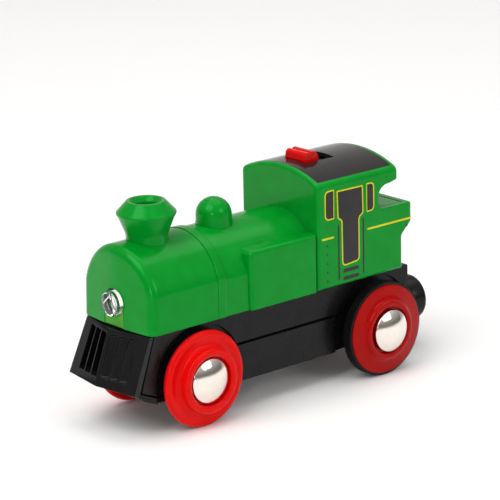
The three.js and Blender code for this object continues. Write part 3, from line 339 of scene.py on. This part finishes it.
def place_piece(obj, material, body, replaces=(), crisp=38):
    """Scales a finished piece to metres, shades it and puts it on its CAD body."""
    mesh = obj.data
    mesh.transform(Matrix.Scale(0.001, 4))
    work = bmesh.new()
    work.from_mesh(mesh)
    for face in work.faces:
        face.smooth = True
    for edge in work.edges:
        edge.smooth = len(edge.link_faces) == 2 and edge.calc_face_angle(0.0) < math.radians(crisp)
    work.to_mesh(mesh)
    work.free()
    mesh.materials.clear()
    mesh.materials.append(material)
    even = obj.modifiers.new("even", "WEIGHTED_NORMAL")
    even.keep_sharp = True
    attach(obj, body)
    if replaces:
        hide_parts(*replaces)
    return obj


BODY = "locomotive_body"
CASING_BOTTOM = 23.65
CHIMNEY_X = 32.15
DOME_X = 13.2
LAMP_Z = 28.9

# ---------- smokebox, boiler and tanks ----------
AXIS_Z = 29.1
SMOKEBOX_REAR = 22.64
NOSE_X = 42.3
SMOKEBOX_R, SMOKEBOX_HALF = 12.6, 12.3
BOILER_REAR = -6.08


def arch(radius, half_width, bottom, steps=44):
    """The casing seen from the front, as (y, z), from the left foot over the crown."""
    start = math.degrees(math.acos(half_width / radius))
    top = arc(0, AXIS_Z, radius, start, 180 - start, steps)
    middle = (bottom + top[0][1]) / 2
    return [(half_width, bottom), (half_width, middle), *top, (-half_width, middle), (-half_width, bottom)]


def nose_x(front, y, z):
    swept = math.sqrt(y * y + 1.2 * 1.2) - 1.2
    return front - 0.1 * swept - 0.035 * (z - CASING_BOTTOM)


def smokebox():
    fillet = 1.9
    rows = [[(SMOKEBOX_REAR, y, z) for y, z in arch(SMOKEBOX_R, SMOKEBOX_HALF, CASING_BOTTOM)]]
    for i in range(9):
        angle = math.pi / 2 * i / 8
        shrink = fillet * (1 - math.cos(angle))
        front = NOSE_X - fillet * (1 - math.sin(angle))
        outline = arch(SMOKEBOX_R - shrink, SMOKEBOX_HALF - shrink, CASING_BOTTOM)
        rows.append([(nose_x(front, y, z), y, z) for y, z in outline])
    count = len(rows[0])
    verts = [p for row in rows for p in row]
    faces = []
    for r in range(len(rows) - 1):
        for i in range(count - 1):
            a = r * count + i
            faces.append((a, a + 1, a + count + 1, a + count))
    last = (len(rows) - 1) * count
    fractions = [0.85, 0.65, 0.45, 0.3, 0.18, 0.09, 0.0, -0.09, -0.18, -0.3, -0.45, -0.65, -0.85]
    half = count // 2
    grid = []
    for j in range(half):
        x, y, z = verts[last + j]
        line = [last + j]
        for share in fractions:
            line.append(len(verts))
            verts.append((nose_x(NOSE_X, y * share, z), y * share, z))
        line.append(last + count - 1 - j)
        grid.append(line)
    for low, high in zip(grid, grid[1:]):
        for k in range(len(low) - 1):
            faces.append((low[k], low[k + 1], high[k + 1], high[k]))
    top = grid[-1]
    middle = len(top) // 2
    crown = last + half
    for k in range(len(top) - 1):
        faces.append((top[k], top[k + 1], crown))
    piece = thicken(new_object("smokebox", verts, faces), 1.5)
    lamp = lathe("tool", [(0, 36), (3.25, 36), (3.25, 46), (0, 46)], "X", (0, 0, LAMP_Z), steps=64)
    slot = block("tool", 38, 46, -3.35, 3.35, 20, LAMP_Z)
    bore = lathe("tool", [(0, 36), (3.5, 36), (3.5, 46), (0, 46)], "Z", (CHIMNEY_X, 0, 0), steps=48)
    return combine(piece, [lamp, slot, bore])


place_piece(smokebox(), GREEN, BODY, ["smokebox_casing"])


def pillow(name, outline, half, fillet, steps=6):
    """An outline in (x, z) drawn out along Y, with both its rims rounded over."""
    rows = []
    ends = [(half - fillet * (1 - math.sin(math.pi / 2 * i / steps)), i) for i in range(steps + 1)]
    places = [(-y, i) for y, i in reversed(ends)]
    places += [(y, i) for y, i in ends]
    for y, i in places:
        shrink = fillet * (1 - math.cos(math.pi / 2 * i / steps))
        ring = inset(outline, shrink) if shrink > 0 else outline
        rows.append([(x, y, z) for x, z in ring])
    return loft(name, rows)


def boiler():
    rows = []
    bottom = CASING_BOTTOM - 2
    stations = [(BOILER_REAR, 12.35, 12.1), (19.95, 12.35, 12.1), (20.15, 12.38, 12.13), (20.25, 12.5, 12.2)]
    stations += [(20.3, 12.66, 12.28), (20.42, 12.75, 12.34), (20.6, 12.78, 12.36), (22.4, 12.78, 12.36)]
    stations += [(22.52, 12.72, 12.32), (22.56, 12.62, 12.26)]
    for x, radius, half_width in stations:
        rows.append([(x, y, z) for y, z in arch(radius, half_width, bottom)])
    piece = loft("boiler", rows)
    rim = rounded([(BOILER_REAR, 20, 0), (13.75, 20, 0), (13.75, 37.15, 1.1), (BOILER_REAR, 37.15, 0)], 6)
    tanks = pillow("tool", rim, 13.0, 1.0)
    combine(piece, [tanks], "UNION")
    hollow = prism("tool", arch(10.75, 10.5, 18), "X", -10, 26)
    foot = block("tool", -10, 26, -20, 20, 10, CASING_BOTTOM)
    bore = lathe("tool", [(0, 36), (2.6, 36), (2.6, 46), (0, 46)], "Z", (DOME_X, 0, 0), steps=48)
    return combine(piece, [hollow, foot, bore])


place_piece(boiler(), GREEN, BODY, ["boiler_casing"], crisp=30)


# ---------- cab ----------
CAB_FRONT = -6.15
ROOF_REAR = -30.75
ROOF_TOP = 51.2
ROOF_R = 30.0
CAB_Y = 13.1
BUNKER_REAR = -35.45
BUNKER_TOP = 39.15


def roof_z(y, radius=ROOF_R):
    return ROOF_TOP - ROOF_R + math.sqrt(radius * radius - y * y)


def cab_outline():
    """The cab and bunker seen from the side before their rear is cut out, as (x, z), anticlockwise."""
    return rounded([(CAB_FRONT, CASING_BOTTOM, 0), (CAB_FRONT, ROOF_TOP, 1.0), (BUNKER_REAR, ROOF_TOP, 1.0),
                    (BUNKER_REAR, 34.45, 1.0), (-32.45, 31.6, 1.0), (-32.45, CASING_BOTTOM, 0)], 6)


def rear_opening():
    """Everything above the bunker and behind the roof, seen from the side."""
    lip = rounded([(-28.3, 44.82, 0), (ROOF_REAR, 45.35, 0.55), (ROOF_REAR, 58, 0), (-42, 58, 0),
                   (-42, BUNKER_TOP, 0), (-26.3, BUNKER_TOP, 0)], 5)
    return lip + arc(-27.9, 41.75, 3.05, -52, 88, 20)


def drop_to_arch(x, y, z):
    """Lowers what belongs to the roof by the arch's fall at y."""
    share = min(1.0, max(0.0, (z - 46.5) / (48.6 - 46.5)))
    return z - (ROOF_TOP - roof_z(y)) * share


def cab():
    outline = cab_outline()
    fillet = 0.9
    steps = 6
    levels = []
    for i in range(steps + 1):
        angle = math.pi / 2 * i / steps
        levels.append((CAB_Y - fillet * (1 - math.sin(angle)), fillet * (1 - math.cos(angle))))
    inner = [(y, 0.0) for y in (0.0, 1.5, 3.0, 4.5, 6.0, 7.5, 9.0, 10.3, 11.3)]
    half = inner + levels
    places = [(-y, s) for y, s in reversed(half)] + half[1:]
    rows = []
    for y, shrink in places:
        ring = inset(outline, shrink) if shrink > 0 else outline
        rows.append([(x, y, drop_to_arch(x, y, z)) for x, z in ring])
    return loft("cab", rows)


def cab_shell():
    piece = combine(cab(), [prism("tool", rear_opening(), "Y", -20, 20)])
    soften(piece, 0.35, angle=50, segments=4)
    core = block("tool", -30.85, -7.7, -11.6, 11.6, 15, 34)
    upper = block("tool", -23.2, -7.7, -11.6, 11.6, 33.9, 46.6)
    deck = block("tool", -33.85, -28.0, -11.5, 11.5, 37.4, 42)
    slot = block("tool", -19.75, -10.75, -3.75, 3.75, 46.5, 53)
    pocket = block("tool", -23.4, -7.75, -4.9, 4.9, 46.5, 50.3)
    crown = prism("tool", [(-8.5, 46.5), (8.5, 46.5), (8.5, 48.3), (5.5, 49.1), (-5.5, 49.1), (-8.5, 48.3)],
                  "X", -22.5, -7.75)
    flat = block("tool", -40, 0, -20, 20, 10, CASING_BOTTOM)
    return combine(piece, [core, upper, deck, crown, pocket, slot, flat])


def shade_slot_walls(piece):
    """The walls of the switch slot are given the dark roof print material, as painted shade in the slot."""
    piece.data.materials.append(ROOF_PRINT)
    for face in piece.data.polygons:
        x, y, z = face.center * 1000
        # painted shade: the slot's wall faces take the dark print material
        if -19.8 < x < -10.7 and abs(y) < 3.8 and z > 50.2 and abs(face.normal.z) < 0.5:
            face.material_index = 1


shade_slot_walls(place_piece(cab_shell(), GREEN, BODY, ["cab_casing"], crisp=30))
deck = soften(block("bunker_deck_panel", -33.55, -28.2, -11.2, 11.2, 37.6, 39.12), 0.12)
place_piece(deck, GREEN, BODY, ["bunker_deck"])

# ---------- printed decoration on the cab ----------
FILM, UPPER_FILM = 0.02, 0.035


def side_print(name, outline, side, proud, material):
    low, high = sorted((side * (CAB_Y - 0.02), side * (CAB_Y + proud)))
    piece = prism(name, outline, "Y", low, high)
    place_piece(piece, material, BODY)


def disc(a, b, radius, steps=20):
    return arc(a, b, radius, 0, 360, steps)[:-1]


DOOR = [(-19.95, 46.05, 0.3), (-20.1, 39.5, 0.9), (-18.8, 38.7, 0.9), (-18.8, 28.55, 1.1), (-13.4, 28.05, 1.1),
        (-13.3, 38.85, 0.9), (-12.1, 39.7, 0.9), (-11.9, 46.15, 0.3)]
FRONT_WINDOW = [(-11.1, 46.7, 0.2), (-11.1, 39.75, 0.2), (-8.25, 39.75, 1.2), (-8.25, 46.6, 1.2)]
REAR_WINDOW = [(-23.45, 46.2, 1.1), (-23.45, 39.5, 1.1), (-21.05, 39.4, 0.2), (-21.05, 46.2, 0.2)]

for label, side in (("left", 1), ("right", -1)):
    for part, corners in (("door", DOOR), ("front_window", FRONT_WINDOW), ("rear_window", REAR_WINDOW)):
        rim = rounded(corners, 5)
        side_print(f"{part}_outline_{label}", rim, side, FILM, PRINT_YELLOW)
        side_print(f"{part}_fill_{label}", inset(rim, 0.33), side, UPPER_FILM, PRINT_BLACK)
    bar = [(-10.95, 35.33), (-7.35, 35.33), (-7.35, 35.77), (-10.95, 35.77)]
    line = [(-35.1, 35.15), (-21.3, 35.15), (-21.3, 35.6), (-35.1, 35.6)]
    side_print(f"short_line_{label}", bar, side, FILM, PRINT_YELLOW)
    side_print(f"long_line_{label}", line, side, FILM, PRINT_YELLOW)
    for i in range(5):
        side_print(f"rivet_{i + 1}_{label}", disc(-8.9, 33.9 - i * 2.0875, 0.27), side, FILM, PRINT_BLACK)
    side_print(f"rivet_6_{label}", disc(-33.7, 33.8, 0.27), side, FILM, PRINT_BLACK)
    for name, x in (("front", -12.4), ("rear", -20.0)):
        rail = rounded([(x - 0.24, 25.15, 0.2), (x + 0.24, 25.15, 0.2),
                        (x + 0.24, 38.3, 0.2), (x - 0.24, 38.3, 0.2)], 3)
        side_print(f"{name}_rail_{label}", rail, side, FILM, PRINT_BLACK)
    for name, z in (("upper", 27.0), ("lower", 25.2)):
        mark = rounded([(-18.7, z - 0.45, 0.1), (-13.6, z - 0.45, 0.1),
                        (-13.9, z + 0.45, 0.4), (-18.4, z + 0.45, 0.4)], 3)
        side_print(f"{name}_step_{label}", mark, side, FILM, PRINT_BLACK)


def roof_print():
    shell = []
    for radius in (ROOF_R - 0.1, ROOF_R + 0.03):
        for i in range(45):
            y = -13.0 + 26.0 * i / 44
            shell.append((y, roof_z(y, radius)))
    outline = shell[:45] + list(reversed(shell[45:]))
    piece = prism("roof_print", outline, "X", -30.2, -6.7)
    edge = rounded([(-29.7, -12.05, 0.5), (-7.2, -12.05, 0.5), (-7.2, 12.05, 0.5), (-29.7, 12.05, 0.5)], 5)
    window = prism("tool", edge, "Z", 40, 60)
    slot = block("tool", -19.76, -10.74, -3.76, 3.76, 40, 60)
    combine(piece, [window], "INTERSECT")
    return combine(piece, [slot])


place_piece(roof_print(), ROOF_PRINT, BODY)


# ---------- chimney and steam dome ----------
def seat_tool(radius, half_width, x0, x1):
    return prism("tool", arch(radius, half_width, 15), "X", x0, x1)


def chimney():
    profile = [(0, 38.2), (3.2, 38.2), (3.2, 40.4), (4.72, 40.4), (4.68, 42.6), (4.95, 43.4)]
    profile += [(6.3, 46.75), *arc(6.1, 47.42, 0.54, -22, 62, 6), (4.5, 49.95), *arc(4.15, 49.85, 0.3, 55, 90, 3)]
    profile += [(3.85, 50.14), *arc(3.7, 49.9, 0.22, 90, 140, 3), (2.75, 49.2), (2.6, 48.95), (2.45, 45.0), (0, 45.0)]
    piece = lathe("chimney_stack", profile, "Z", (CHIMNEY_X, 0, 0), steps=96)
    skirt = block("tool", 20, 45, -12, 12, 36, 39)
    return combine(piece, [seat_tool(12.64, 12.34, 20, 45), skirt])


place_piece(chimney(), GREEN, BODY, ["chimney"], crisp=30)


def steam_dome():
    profile = [(0, 39.5), (4.25, 39.5), (4.2, 41.6), (4.07, 42.1), (4.07, 43.2)]
    profile += arc(0, 43.2, 4.07, 0, 90, 16)[1:-1] + [(0, 47.27)]
    piece = lathe("steam_dome_cap", profile, "Z", (DOME_X, 0, 0), steps=80)
    return combine(piece, [seat_tool(12.39, 12.14, 5, 21)])


place_piece(steam_dome(), GREEN, BODY, ["steam_dome"], crisp=30)


# ---------- headlight ----------
def lamp_lens():
    profile = [(0, 40.9), (2.8, 40.9), (2.8, 43.1), (2.72, 43.26), (2.6, 43.32), (2.45, 43.3)]
    profile += [*arc(0, 39.2, 4.7, 60, 86, 10), (0, 43.9)]
    return lathe("lamp_lens", profile, "X", (0, 0, LAMP_Z), steps=64)


place_piece(lamp_lens(), LENS, BODY, ["headlight_lens"])


def lamp_tab():
    tab = block("lamp_tab", 40.45, 41.95, -3.2, 3.2, 23.7, 28.6)
    ring = lathe("tool", [(0, 36), (3.1, 36), (3.1, 46), (0, 46)], "X", (0, 0, LAMP_Z), steps=64)
    return soften(combine(tab, [ring]), 0.12)


place_piece(lamp_tab(), TAB_GREEN, BODY, ["headlight_tab"])


# ---------- cowcatcher ----------
def mix(a, b, share):
    return tuple(p + (q - p) * share for p, q in zip(a, b))


def pilot_point(side, across, down, back=0.0):
    top = mix((43.45, 0, 23.3), (41.0, side * 11.1, 23.3), across)
    low = mix((47.85, 0, 11.2), (46.15, side * 11.65, 11.2), across)
    x, y, z = mix(top, low, down)
    return (x - back, y, z)


SLOT_START, SLOT_PITCH, SLOT_WIDTH = 0.05, 0.235, 0.2
SLOT_TOP, SLOT_FOOT = 0.08, 0.85


def pilot_slot(side, start):
    """A slot cutter that deepens from the ridge side outwards and slopes in at its top and foot."""
    end = start + SLOT_WIDTH
    rings = []
    for top, foot, depths in ((SLOT_TOP - 0.012, SLOT_FOOT + 0.012, (-0.3, -0.3)),
                              (SLOT_TOP + 0.045, SLOT_FOOT - 0.02, (0.35, 1.6))):
        corners = [(start, top, depths[0]), (end, top, depths[1]), (end, foot, depths[1]), (start, foot, depths[0])]
        rings += [pilot_point(side, across, down, back) for across, down, back in corners]
    faces = [(0, 1, 2, 3), (7, 6, 5, 4), (0, 4, 5, 1), (1, 5, 6, 2), (2, 6, 7, 3), (3, 7, 4, 0)]
    return new_object("tool", rings, faces)


def cowcatcher():
    front = [[pilot_point(s, abs(a), d) for s, a in ((1, 1), (1, 0), (-1, 1))] for d in (0, 1)]
    back = [[(39.9, 11.1, 23.3), (39.9, 0, 23.3), (39.9, -11.1, 23.3)],
            [(44.6, 11.65, 11.2), (44.6, 0, 11.2), (44.6, -11.65, 11.2)]]
    verts = front[0] + front[1] + back[0] + back[1]
    faces = [(0, 1, 4, 3), (1, 2, 5, 4), (6, 9, 10, 7), (7, 10, 11, 8), (0, 6, 7, 1), (1, 7, 8, 2),
             (3, 4, 10, 9), (4, 5, 11, 10), (0, 3, 9, 6), (2, 8, 11, 5)]
    piece = new_object("cowcatcher_grille", verts, faces)
    tools = []
    for side in (1, -1):
        for i in range(3):
            tools.append(pilot_slot(side, SLOT_START + i * SLOT_PITCH))
    combine(piece, tools)
    return soften(piece, 0.17, angle=30, segments=4)


place_piece(cowcatcher(), GRILLE_BLACK, BODY, ["cowcatcher"])


# ---------- chassis ----------
FRAME_Y = 10.5
SEAM_Z = 15.8
SEAM_RISE, SEAM_DROP, LIP_RISE = 0.36, 0.32, 0.33
FRONT_AXLE = (27.28, 11.0)
REAR_AXLE = (-24.84, 11.1)
AXLES = (FRONT_AXLE, REAR_AXLE)
ARCH_R = 12.2
ARCH_DEPTH = 1.0


def wheel_arches():
    """The round recesses behind the wheels, on both sides."""
    tools = []
    for x, z in AXLES:
        for side in (1, -1):
            profile = [(0, FRAME_Y - ARCH_DEPTH), (ARCH_R - 0.1, FRAME_Y - ARCH_DEPTH), (ARCH_R, FRAME_Y + 3),
                       (0, FRAME_Y + 3)]
            tools.append(lathe("tool", profile, "Y", (x, 0, z), side, steps=96))
    return tools


def frame_upper():
    low = SEAM_Z + SEAM_RISE
    side = [(-36.4, low), (34.2, low), (34.2, 8.75), (38.1, 8.75), (43.9, 11.45), (39.55, 23.35), (-36.4, 23.35)]
    piece = prism("chassis_frame_shell", rounded([(a, b, 0.5 if i == 6 else 0) for i, (a, b) in enumerate(side)]),
                  "Y", -FRAME_Y, FRAME_Y)
    cheeks = []
    for s in (1, -1):
        verts = [(37.9, s * 9.0, 8.8), (38.1, s * 9.0, 23.35), (39.55, s * 9.0, 23.35), (43.9, s * 9.0, 11.45)]
        verts += [(37.9, s * FRAME_Y, 8.8), (38.1, s * FRAME_Y, 23.35), (39.55, s * 11.0, 23.35),
                  (43.9, s * 11.5, 11.45)]
        faces = [(0, 1, 2, 3), (7, 6, 5, 4), (0, 4, 5, 1), (1, 5, 6, 2), (2, 6, 7, 3), (3, 7, 4, 0)]
        cheeks.append(new_object("tool", verts, faces))
    combine(piece, cheeks, "UNION")
    y = FRAME_Y - 1.5
    rooms = [block("tool", -34.9, -16.5, -y, y, 10, 21.9), block("tool", -15, 21.4, -y, y, 10, 30),
             block("tool", -32.4, -16.5, -y, y, 20, 30), block("tool", 22.9, 35.6, -y, y, 5, 30)]
    combine(piece, rooms + wheel_arches())
    return soften(piece, 0.15, angle=40, segments=2)


place_piece(frame_upper(), BLACK, BODY, ["chassis_frame"])


def frame_lower():
    top = SEAM_Z - SEAM_DROP
    side = [(-36.4, 7.0), (34, 7.0), (38.8, 7.4), (42.2, 8.7), (44.5, 10.5), (44.1, 11.05), (38.2, 8.4), (33.9, 8.4),
            (33.9, top), (-36.4, top)]
    piece = prism("chassis_tray_shell", side, "Y", -FRAME_Y, FRAME_Y)
    y = FRAME_Y - 1.5
    tools = [block("tool", -34.9, 32.4, -y, y, 8.5, 30), block("tool", -21.2, 24.6, -8.6, 2.8, 0, 9),
             block("tool", 14.9, 20.1, 2.1, 8.9, 0, 8.55), block("tool", -37.4, -33.9, -3.3, 3.3, 8.4, 13.0)]
    for x, z in AXLES:
        tools.append(lathe("tool", [(0, -20), (1.34, -20), (1.34, 20), (0, 20)], "Y", (x, 0, z), steps=32))
    for x, y in ((31.0, 0), (-12.0, 6.5)):
        tools.append(lathe("tool", [(0, 0), (1.9, 0), (1.9, 9), (0, 9)], "Z", (x, y, 0), steps=32))
    combine(piece, tools + wheel_arches())
    soften(piece, 0.15, angle=40, segments=2)
    # a low lip inside the wall stands behind the seam, so that no light comes through it
    lips = []
    for side_y in (1, -1):
        low_y, high_y = sorted((side_y * 9.05, side_y * 9.42))
        lips.append(block("tool", -35.6, 33.2, low_y, high_y, 15.1, SEAM_Z + LIP_RISE))
    lips.append(block("tool", -35.6, -35.2, -9.3, 9.3, 15.1, SEAM_Z + LIP_RISE))
    combine(piece, lips, "UNION")
    return piece


place_piece(frame_lower(), BLACK, BODY, ["chassis_tray"])


# ---------- wheels ----------
def wheel_front(side):
    profile = [(1.36, 10.8), (3.0, 10.8), (3.2, 11.5), (9.3, 11.5), (9.8, 11.32)]
    profile += arc(10.1, 12.17, 0.9, -75, 84, 14)
    profile += [(9.7, 13.05), (9.1, 12.94), (8.5, 12.9), (7.95, 13.0), (7.62, 13.25), (7.45, 13.65), (7.4, 14.6)]
    profile += arc(6.8, 14.72, 0.6, 5, 90, 8) + arc(6.2, 14.72, 0.6, 90, 175, 8)
    profile += [(5.58, 13.75), (5.5, 13.7), (1.36, 13.7)]
    return lathe("wheel_rim_front", profile, "Y", (FRONT_AXLE[0], 0, FRONT_AXLE[1]), side, steps=112)


def wheel_rear(side):
    profile = [(1.36, 10.8), (3.0, 10.8), (3.2, 12.4), (9.4, 12.4), (9.4, 15.02), (10.42, 15.02)]
    profile += arc(10.35, 15.2, 0.15, -40, 82, 8)
    profile += [(9.8, 15.44), (9.1, 15.55), (8.4, 15.66), (7.9, 15.75), (7.5, 15.85), (7.2, 16.0), (7.0, 16.2)]
    profile += [(6.88, 16.42), *arc(6.45, 16.4, 0.42, 10, 90, 8), *arc(5.95, 16.38, 0.44, 90, 175, 8)]
    profile += [(5.46, 15.65), (5.36, 15.6), (1.36, 15.6)]
    return lathe("wheel_disc_rear", profile, "Y", (REAR_AXLE[0], 0, REAR_AXLE[1]), side, steps=112)


RIBS = 136


def ribbed_tyre(side):
    def radius_at(r, h, i):
        return r - (0.27 if i % 4 > 1 and r > 10.9 else 0.0)

    profile = [(9.46, 12.5), (10.7, 12.5), (10.98, 12.56), (11.1, 12.7), (11.1, 14.98), (11.0, 15.1), (10.75, 15.14)]
    profile += [(10.6, 15.1), (10.6, 14.97), (9.46, 14.97)]
    return lathe("tyre", profile, "Y", (REAR_AXLE[0], 0, REAR_AXLE[1]), side, steps=RIBS * 4, radius_at=radius_at)


def cap_dome(x, z, seat, rim, radius, side):
    """A shallow dome, part of a sphere, over a short straight wall."""
    reach, rise = radius - 0.06, 1.45
    sphere = (reach * reach + rise * rise) / (2 * rise)
    sweep = math.asin(reach / sphere)
    profile = [(0, seat), (radius - 0.1, seat), (radius, seat + 0.12), (radius, rim - 0.16),
               (radius - 0.02, rim - 0.06)]
    for i in range(24, -1, -1):
        angle = sweep * i / 24
        profile.append((sphere * math.sin(angle), rim + rise - sphere * (1 - math.cos(angle))))
    return lathe("hub_cap", profile, "Y", (x, 0, z), side, steps=96)


for label, side in (("left", 1), ("right", -1)):
    piece = wheel_front(side)
    piece.name = f"front_wheel_rim_{label}"
    place_piece(piece, FRONT_RED, "front_wheelset", [f"front_wheel_{label}"], crisp=30)
    piece = wheel_rear(side)
    piece.name = f"rear_wheel_disc_{label}"
    place_piece(piece, REAR_RED, "rear_wheelset", [f"rear_wheel_{label}"], crisp=30)
    piece = ribbed_tyre(side)
    piece.name = f"ribbed_tyre_{label}"
    place_piece(piece, RUBBER, "rear_wheelset", [f"rear_tyre_{label}"], crisp=25)
    piece = cap_dome(*FRONT_AXLE, 13.95, 14.78, 5.1, side)
    piece.name = f"front_cap_dome_{label}"
    place_piece(piece, CHROME, "front_wheelset", [f"front_hub_cap_{label}"])
    piece = cap_dome(*REAR_AXLE, 15.85, 17.2, 4.92, side)
    piece.name = f"rear_cap_dome_{label}"
    place_piece(piece, CHROME, "rear_wheelset", [f"rear_hub_cap_{label}"])


# ---------- roof switch ----------
def knob():
    side = [(-11.35, 50.35, 0), (-11.35, 50.6, 0), (-11.1, 51.4, 0.4), (-11.35, 52.75, 0.7), (-12.0, 53.15, 0.3),
            (-12.85, 53.05, 0.2), (-13.15, 52.5, 0.25), (-13.45, 53.2, 0.25), (-14.4, 53.2, 0.5), (-15.15, 52.5, 0.5),
            (-15.35, 51.4, 0.4), (-15.1, 50.6, 0), (-15.1, 50.35, 0)]
    piece = prism("switch_slider", rounded(side, 5), "Y", -3.3, 3.3)
    soften(piece, 0.45, angle=50, segments=5)
    stem = block("tool", -14.42, -12.02, -2.0, 2.0, 49.3, 51)
    return combine(piece, [stem], "UNION")


place_piece(knob(), RED, "power_switch", ["switch_knob"])


def carrier():
    plate = soften(block("switch_plate", -18.9, -8.1, -4.6, 4.6, 49.15, 50.15), 0.15)
    return combine(plate, [block("tool", -14.72, -11.72, -2.3, 2.3, 46, 51)])


place_piece(carrier(), BLACK, "power_switch", ["switch_carrier"])


# ---------- rear coupling ----------
COUPLING_REAR = -47.85
COUPLING_PIN_X = -32.6
COUPLING_Z = 10.7


def coupling():
    rear = COUPLING_REAR
    profile = [(0, rear + 1.2), (4.25, rear + 1.2), (4.25, rear + 0.2), (4.3, rear + 0.15), (4.9, rear + 0.15),
               (5.2, rear + 0.25), (5.36, rear + 0.5), (5.4, rear + 0.8), (5.3, rear + 3.2), (4.95, rear + 4.3),
               (4.2, rear + 5.2), (3.0, rear + 6.0), (2.2, rear + 6.6), (1.8, rear + 7.6), (0, rear + 7.6)]
    cup = lathe("coupling_cup", profile, "X", (0, 0, COUPLING_Z), steps=80)
    arm = soften(block("tool", -41.65, COUPLING_PIN_X, -1.8, 1.8, 9.1, 12.3), 0.3)
    eye = lathe("tool", [(0, 9.1), (2.2, 9.1), (2.2, 12.3), (0, 12.3)], "Z", (COUPLING_PIN_X, 0, 0), steps=48)
    combine(cup, [arm, eye], "UNION")
    hole = lathe("tool", [(0, 0), (0.9, 0), (0.9, 30), (0, 30)], "Z", (COUPLING_PIN_X, 0, 0), steps=32)
    return combine(cup, [hole])


place_piece(coupling(), BLACK, "rear_coupling", ["coupling_arm"], crisp=30)


# ---------- studio ----------
def studio_surface():
    verts, faces = [], []
    profile = [(3.0, 0.0), (-0.9, 0.0)]
    for i in range(1, 13):
        a = math.pi / 2 * i / 12
        profile.append((-0.9 - 0.6 * math.sin(a), 0.6 - 0.6 * math.cos(a)))
    profile += [(-1.5, 4.0)]
    for along, height in profile:
        for across in (-4.0, 4.0):
            point = Vector((CAMERA_BACK.x, CAMERA_BACK.y, 0)).normalized() * along
            sideways = right * across
            verts.append((point.x + sideways.x, point.y + sideways.y, height))
    for i in range(len(profile) - 1):
        faces.append((2 * i, 2 * i + 1, 2 * i + 3, 2 * i + 2))
    mesh = bpy.data.meshes.new("studio_floor")
    mesh.from_pydata(verts, [], faces)
    for polygon in mesh.polygons:
        polygon.use_smooth = True
    made = bpy.data.objects.new("studio_floor", mesh)
    scene.collection.objects.link(made)
    return made


floor = studio_surface()
floor.data.materials.append(
    finish_material("studio paper", (0.86, 0.86, 0.86), (0.88, 0.88, 0.88), (0.75, 0.85), scale=3.0, grain=400.0)
)


def soft_light(name, place_at, size, power, aim=(0, 0, 0.025)):
    data = bpy.data.lights.new(name, "AREA")
    data.shape = "RECTANGLE"
    data.size, data.size_y = size
    data.energy = power
    lamp = bpy.data.objects.new(name, data)
    scene.collection.objects.link(lamp)
    lamp.location = place_at
    lamp.rotation_euler = (Vector(aim) - Vector(place_at)).to_track_quat("-Z", "Y").to_euler()


soft_light("key_light", (0.55, 0.05, 0.75), (0.6, 0.6), 4.4)
soft_light("fill_light", (-0.25, 0.75, 0.45), (0.4, 0.3), 1.5)
soft_light("top_light", (-0.2, -0.1, 0.95), (0.9, 0.9), 3.6)
soft_light("front_light", (0.74, 0.62, 0.27), (0.08, 0.2), 0.9)

world = bpy.data.worlds.new("studio")
world.use_nodes = True
sky = world.node_tree
direction = sky.nodes.new("ShaderNodeTexCoord")
split = sky.nodes.new("ShaderNodeSeparateXYZ")
glow = sky.nodes.new("ShaderNodeValToRGB")
sky.links.new(direction.outputs["Generated"], split.inputs["Vector"])
sky.links.new(split.outputs["Z"], glow.inputs["Fac"])
sky.links.new(glow.outputs["Color"], sky.nodes["Background"].inputs["Color"])
glow.color_ramp.elements[0].position = 0.12
glow.color_ramp.elements[0].color = (0.17, 0.17, 0.17, 1.0)
glow.color_ramp.elements[1].position = 0.55
glow.color_ramp.elements[1].color = (0.70, 0.68, 0.66, 1.0)
scene.world = world
